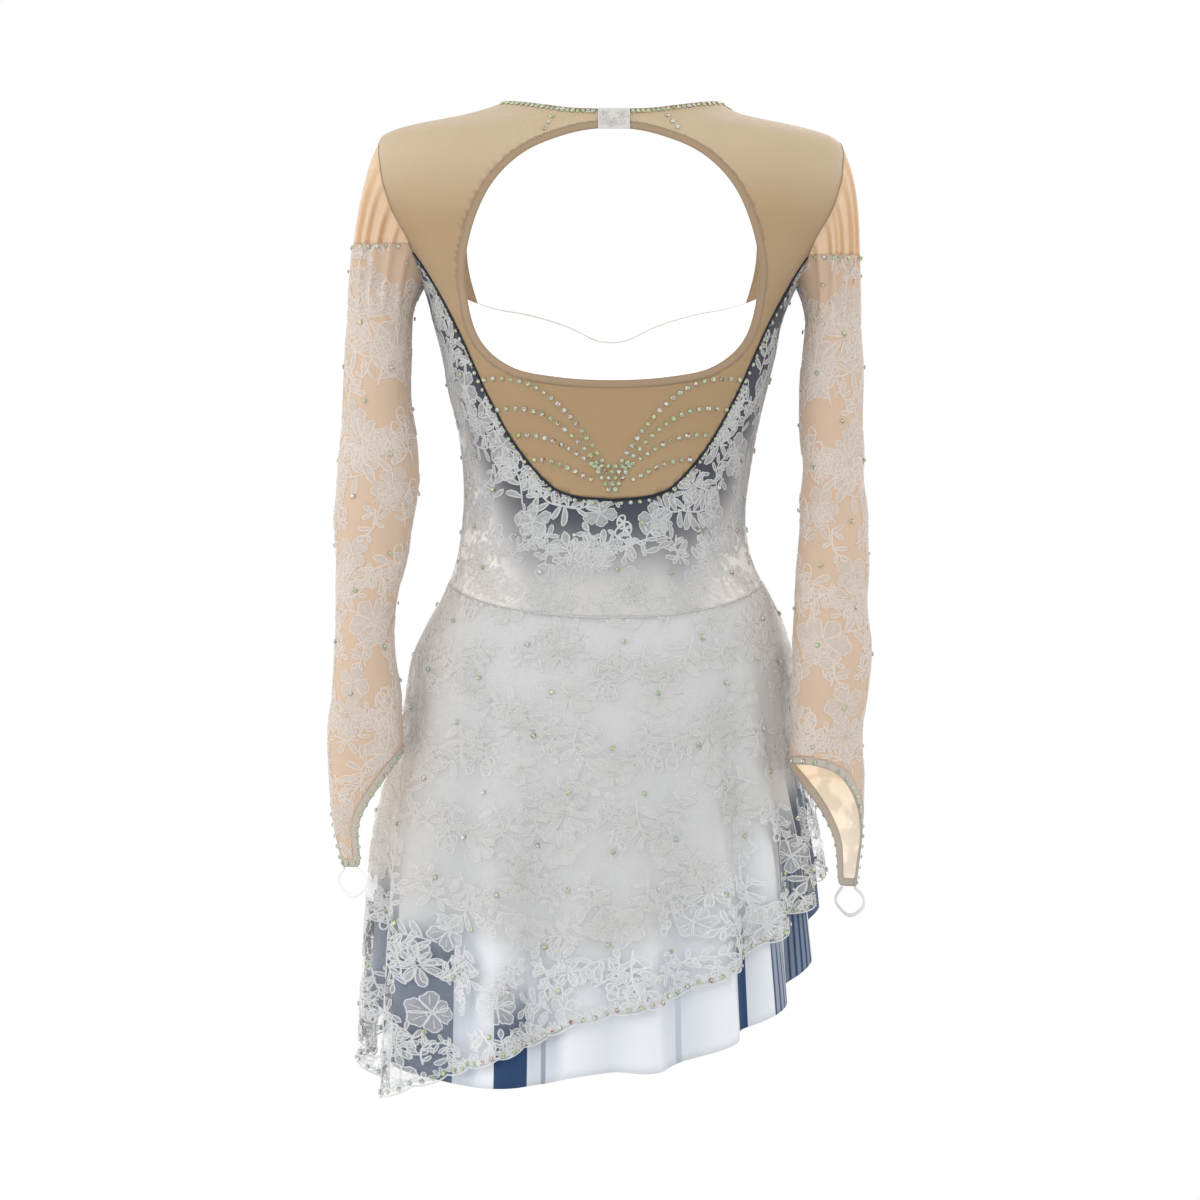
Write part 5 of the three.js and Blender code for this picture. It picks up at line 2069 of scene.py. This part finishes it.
class DRESS_OT_sleeves(bpy.types.Operator):
    """Makes the sleeves: sheer heads, lace tubes, cuff bands and finger loops."""

    bl_idname = "dress.sleeves"
    bl_label = "Sleeves"

    def execute(self, context):
        figures = motif_set(31)
        for name, facts in SLEEVES.items():
            self.sleeve(name, facts, figures)
        return {"FINISHED"}

    def sleeve(self, name, facts, figures):
        surface, core, in_cuff = SLEEVE[name], sleeve_core(name), cuff_distance(facts)
        top, long, lace_top = SLEEVE_ROWS[name]["z"][0], facts["long"], facts["lace_top"]
        around = 2 * math.pi * SLEEVE_RADIUS

        def flat(u, v, p):
            return np.stack([np.radians(u % 360) * SLEEVE_RADIUS, p[:, 2]], axis=-1)

        def folds(u, v, p):
            deep = sum(
                crest(np.abs(wrapped(u - at) - half * 0.55) / (half * 0.7))
                for at, half, _ in zip(*HEAD_FOLDS[name].values())
            )
            return np.clip(deep, 0, 1) * np.sin(np.pi * np.clip(v, 0, 1)) ** 0.5 * 0.62

        rows = np.concatenate([np.linspace(1, 1.72, 50)[1:], np.linspace(1.72, 2, 50)[1:]])
        fine, shared = np.arange(120) * 3.0, {"core": core, "closed": True}
        head = cloth(
            f"{name}_sleeve_head", f"sleeve_head_{name}", "nude_mesh", surface, fine,
            np.linspace(0, 1, 26), ["sleeve head mesh"], THICK["mesh"], flat,
            edges=[lambda p, u, v: p[:, 2] - lace_top], marks={"low": folds}, **shared,
        )
        piece = cloth(
            f"{name}_sleeve", f"sleeve_{name}", "sleeve_lace", surface, np.arange(72) * 5.0,
            [*np.linspace(0, 1, 22), *rows], ["sleeve net", "sleeve inside"], THICK["mesh"], flat,
            edges=[
                lambda p, u, v: lace_top - p[:, 2],
                lambda p, u, v: in_cuff(u, p[:, 2]) - BINDING_WIDTH + 0.6,
            ], **shared,
        )

        def to_sleeve(x, y):
            u = np.degrees(x / SLEEVE_RADIUS) % 360
            v = 1 + (top - y) / (top - (long - 1))
            on_head = y > top
            v[on_head] = drop_to(surface, u[on_head], y[on_head], 0, 1, 16)
            return u, v

        def keep(u, v):
            z = surface(u, v)[:, 2]
            within = (v > 0.02) & (v < 1.999) & (z < lace_top - 0.5)
            return within & (in_cuff(u, z) > BINDING_WIDTH + 0.8)

        spread = scatter(figures, ((0, around), (long - 20, lace_top + 40)), 60, 33, around, 1.16)
        lace = lay_lace(
            f"{name}_sleeve_lace", "sleeve_lace", spread, surface, to_sleeve, keep,
            ["sleeve lace petals", "sleeve lace cords"], core,
        )
        cuff = cloth(
            f"{name}_cuff_band", f"cuff_binding_{name}", "cuff_trim", surface, fine,
            rows[rows > 1.6], ["cuff mesh"], THICK["cuff"], flat, lift=0.55,
            edges=[
                lambda p, u, v: BINDING_WIDTH - in_cuff(u, p[:, 2]),
                lambda p, u, v: in_cuff(u, p[:, 2]),
            ],
            marks={"edge": lambda u, v, p: band_edge(in_cuff(u, p[:, 2]))}, **shared,
        )
        self.loop(name, facts, core)

    def loop(self, name, facts, core):
        """The flat elastic loop below the hand point."""
        turns = facts["point"] + np.array([-LOOP_TURN, LOOP_TURN])
        ends = sleeve_ring(name, turns, np.full(2, float(facts["long"])))
        middle, across = (ends[0] + ends[1]) / 2, ends[1] - ends[0]
        reach = np.linalg.norm(across) / 2
        across /= 2 * reach
        inward = np.array([-facts["side"] * across[1], facts["side"] * across[0], 0.0])
        if inward @ (core(middle[None])[0] - middle) < 0:
            inward = -inward
        path = [
            middle + across * reach * a + inward * 0.6 - [0, 0, 0.3 + down] for a, down in LOOP_PATH
        ]
        up = np.tile(inward, (60, 1))
        verts, faces = tube(spline(path, 60), 1.75, 10, squash=0.4, up=up)
        piece = make_mesh(f"{name}_finger_loop", verts, faces, ["white elastic"])
        face_outwards(piece)
        finish(piece, "elastic", f"finger_loop_{name}")
        return piece


# Half of the stone fan, seen from behind: the ends and handles of each swag, and the rows of the
# triangle in the middle, by their counts.
SWAGS = (
    ((115, -229), (70, -223), (43, -249), (9, -302)),
    ((103, -256), (65, -250), (43, -269), (14, -304)),
    ((84, -279), (56, -277), (38, -292), (12, -309)),
    ((70, -301), (50, -301), (38, -310), (19, -319)),
)
TRIANGLE = (6, 5, 4, 3, 2)


class DRESS_OT_stones(bpy.types.Operator):
    """Sews the stones: neckline, fan, edges, hem, cuffs and the loose scatter."""

    bl_idname = "dress.stones"
    bl_label = "Stones"

    def execute(self, context):
        self.neck()
        self.fan()
        self.bodice()
        self.skirt()
        for name in SLEEVES:
            self.sleeve(name)
        return {"FINISHED"}

    def neck(self):
        rows = []
        for side in (1, -1):
            x = np.linspace(17, 99, 60) * side - (2 if side < 0 else 0)
            z = along(NECK_BACK, "x", "z", np.abs(x)) - 2.6
            line = evenly(np.stack([x, z], axis=-1), STONE_PITCH["neck"])
            rows.append(on_body(*line.T, STONE_LIFT["mesh"]))
        for x, z in (((54, 57.5, 61), (7.5, 2, -3.5)), ((-50, -54.5, -59), (8.5, 3, -2.5))):
            rows.append(on_body(x, z, STONE_LIFT["mesh"]))
        stones("neck_stones", "nude_mesh", rows, 1.05, 51)

    def fan(self):
        """Swags of stones from a point below the open back out to the bodice's edge."""
        t = np.linspace(0, 1, 50)[:, None]
        rows = []
        for side in (1, -1):
            for points in SWAGS:
                line = bezier(t, *np.array(points, float)) * [side, 1]
                rows.append(on_body(*evenly(line, STONE_PITCH["swag"]).T, STONE_LIFT["mesh"]))
        spots = [
            ((i - (count - 1) / 2) * 6.2, -307 - 5.3 * k)
            for k, count in enumerate(TRIANGLE)
            for i in range(count)
        ]
        rows.append(on_body(*np.array(spots).T, STONE_LIFT["mesh"]))
        stones("fan_stones", "nude_mesh", rows, 1.1, 52)

    def bodice(self):
        rng = np.random.default_rng(53)
        rows = []
        x = np.linspace(-178, 178, 300)
        for front, top in ((False, LACE_TOP_BACK), (True, LACE_TOP_FRONT)):
            line = np.stack([x, along(top, "x", "z", np.abs(x)) - 3.6], axis=-1)
            line = evenly(line, STONE_PITCH["top"])
            p, n = on_body(*line.T, STONE_LIFT["bodice"], front=front)
            clear = in_armhole(p) < -2
            rows.append((p[clear], n[clear]))
        for row, z in enumerate(np.arange(-160, -420, -34.0)):
            for turn in np.arange(-90, 270, 25.7) + (row % 2) * 12.8:
                u = np.array([turn + rng.uniform(-3, 3)])
                v = row_at(np.array([z + rng.uniform(-6, 6)]))
                p = body(u, v)
                top = LACE_TOP_BACK if p[0, 1] > 0 else LACE_TOP_FRONT
                on_lace = above(top, p[:, 0], p[:, 2])[0] < -13 and p[0, 2] > waist(u)[0] + 5
                if on_lace and in_armhole(p)[0] < -8:
                    n = normals(body, u, v, body_core)
                    rows.append((p + n * STONE_LIFT["bodice"], n))
        stones("bodice_stones", "bodice_lace", rows, 0.92, 54)

    def skirt(self):
        rng = np.random.default_rng(55)
        spots = []
        for row in range(9):
            for column in range(-6, 20):
                x = (column + 0.5 * (row % 2)) * 59 + rng.uniform(-8, 8)
                far = CONE_WAIST + 24 + row * 46 + rng.uniform(-6, 6)
                spots.append((far * math.sin(x / far), far * math.cos(x / far)))
        turns, share = skirt_unflat("lace", *np.array(spots).T)
        here = (turns > -90) & (turns < 270) & (share < 0.95)
        line = np.linspace(-90, 270, 1200)
        edge = np.column_stack([LACE_SKIRT(line, np.full(1200, 0.992)), line])
        hems = evenly(edge, STONE_PITCH["hem"])[:, 3]
        low = 1 - 4.2 / (waist(hems) - visible_hem("lace", hems))
        rows = []
        for u, v in ((turns[here], share[here]), (hems, low)):
            n = normals(LACE_SKIRT, u, v, body_core)
            rows.append((LACE_SKIRT(u, v) + n * STONE_LIFT["skirt"], n))
        stones("skirt_stones", "skirt_lace", rows, 1.1, 56)

    def sleeve(self, name):
        facts, surface = SLEEVES[name], SLEEVE[name]
        rng = np.random.default_rng(57 if name == "left" else 58)
        spots = []
        heights = np.arange(facts["lace_top"] - 24, facts["short"] + 14, -42.0)
        for row, height in enumerate(heights):
            for turn in np.arange(0, 360, 120.0) + (row % 2) * 60 + rng.uniform(-14, 14):
                spots.append((turn, height + rng.uniform(-8, 8)))
        spots += [(turn, facts["lace_top"] - 2.8) for turn in np.arange(0, 360, 15.5)]
        outline = cuff_outline(facts)
        edge = outline[np.abs(outline[:, 1]) > 1][3:]
        for x, height in evenly(edge[edge[:, 0] >= 0], STONE_PITCH["cuff"]):
            at = math.degrees(x / CUFF_REACH)
            if at < 178:
                spots += [(facts["point"] + way * at, height + 3.4) for way in (1, -1)]
        u, z = np.array(spots).T
        u = u % 360
        v = drop_to(surface, u, z, 0, 2, 24)
        clear = v > 0.06
        u, v = u[clear], v[clear]
        n = normals(surface, u, v, sleeve_core(name))
        rows = [(surface(u, v) + n * STONE_LIFT["sleeve"], n)]
        stones(f"{name}_sleeve_stones", "sleeve_lace", rows, 0.95, 60)


STEPS = (
    DRESS_OT_stage,
    DRESS_OT_yokes,
    DRESS_OT_open_back,
    DRESS_OT_bodice,
    DRESS_OT_underskirt,
    DRESS_OT_skirts,
    DRESS_OT_sleeves,
    DRESS_OT_stones,
)


class DRESS_PT_panel(bpy.types.Panel):
    """Lists the dress's steps, sizes and colours."""

    bl_label = "Figure skating dress"
    bl_idname = "DRESS_PT_panel"
    bl_space_type = "VIEW_3D"
    bl_region_type = "UI"
    bl_category = "Dress"

    def draw(self, context):
        for step in STEPS:
            self.layout.operator(step.bl_idname)
        for group in (context.scene.dress_sizes, context.scene.dress_colours):
            for key in type(group).__annotations__:
                self.layout.prop(group, key)


CLASSES = (DressColours, DressSizes, *STEPS, DRESS_PT_panel)


def register():
    for cls in CLASSES:
        bpy.utils.register_class(cls)
    bpy.types.Scene.dress_colours = bpy.props.PointerProperty(type=DressColours)
    bpy.types.Scene.dress_sizes = bpy.props.PointerProperty(type=DressSizes)


def unregister():
    del bpy.types.Scene.dress_sizes
    del bpy.types.Scene.dress_colours
    for cls in reversed(CLASSES):
        bpy.utils.unregister_class(cls)


def main():
    register()
    for step in STEPS:
        group, name = step.bl_idname.split(".")
        getattr(getattr(bpy.ops, group), name)()


if __name__ == "__main__":
    main()
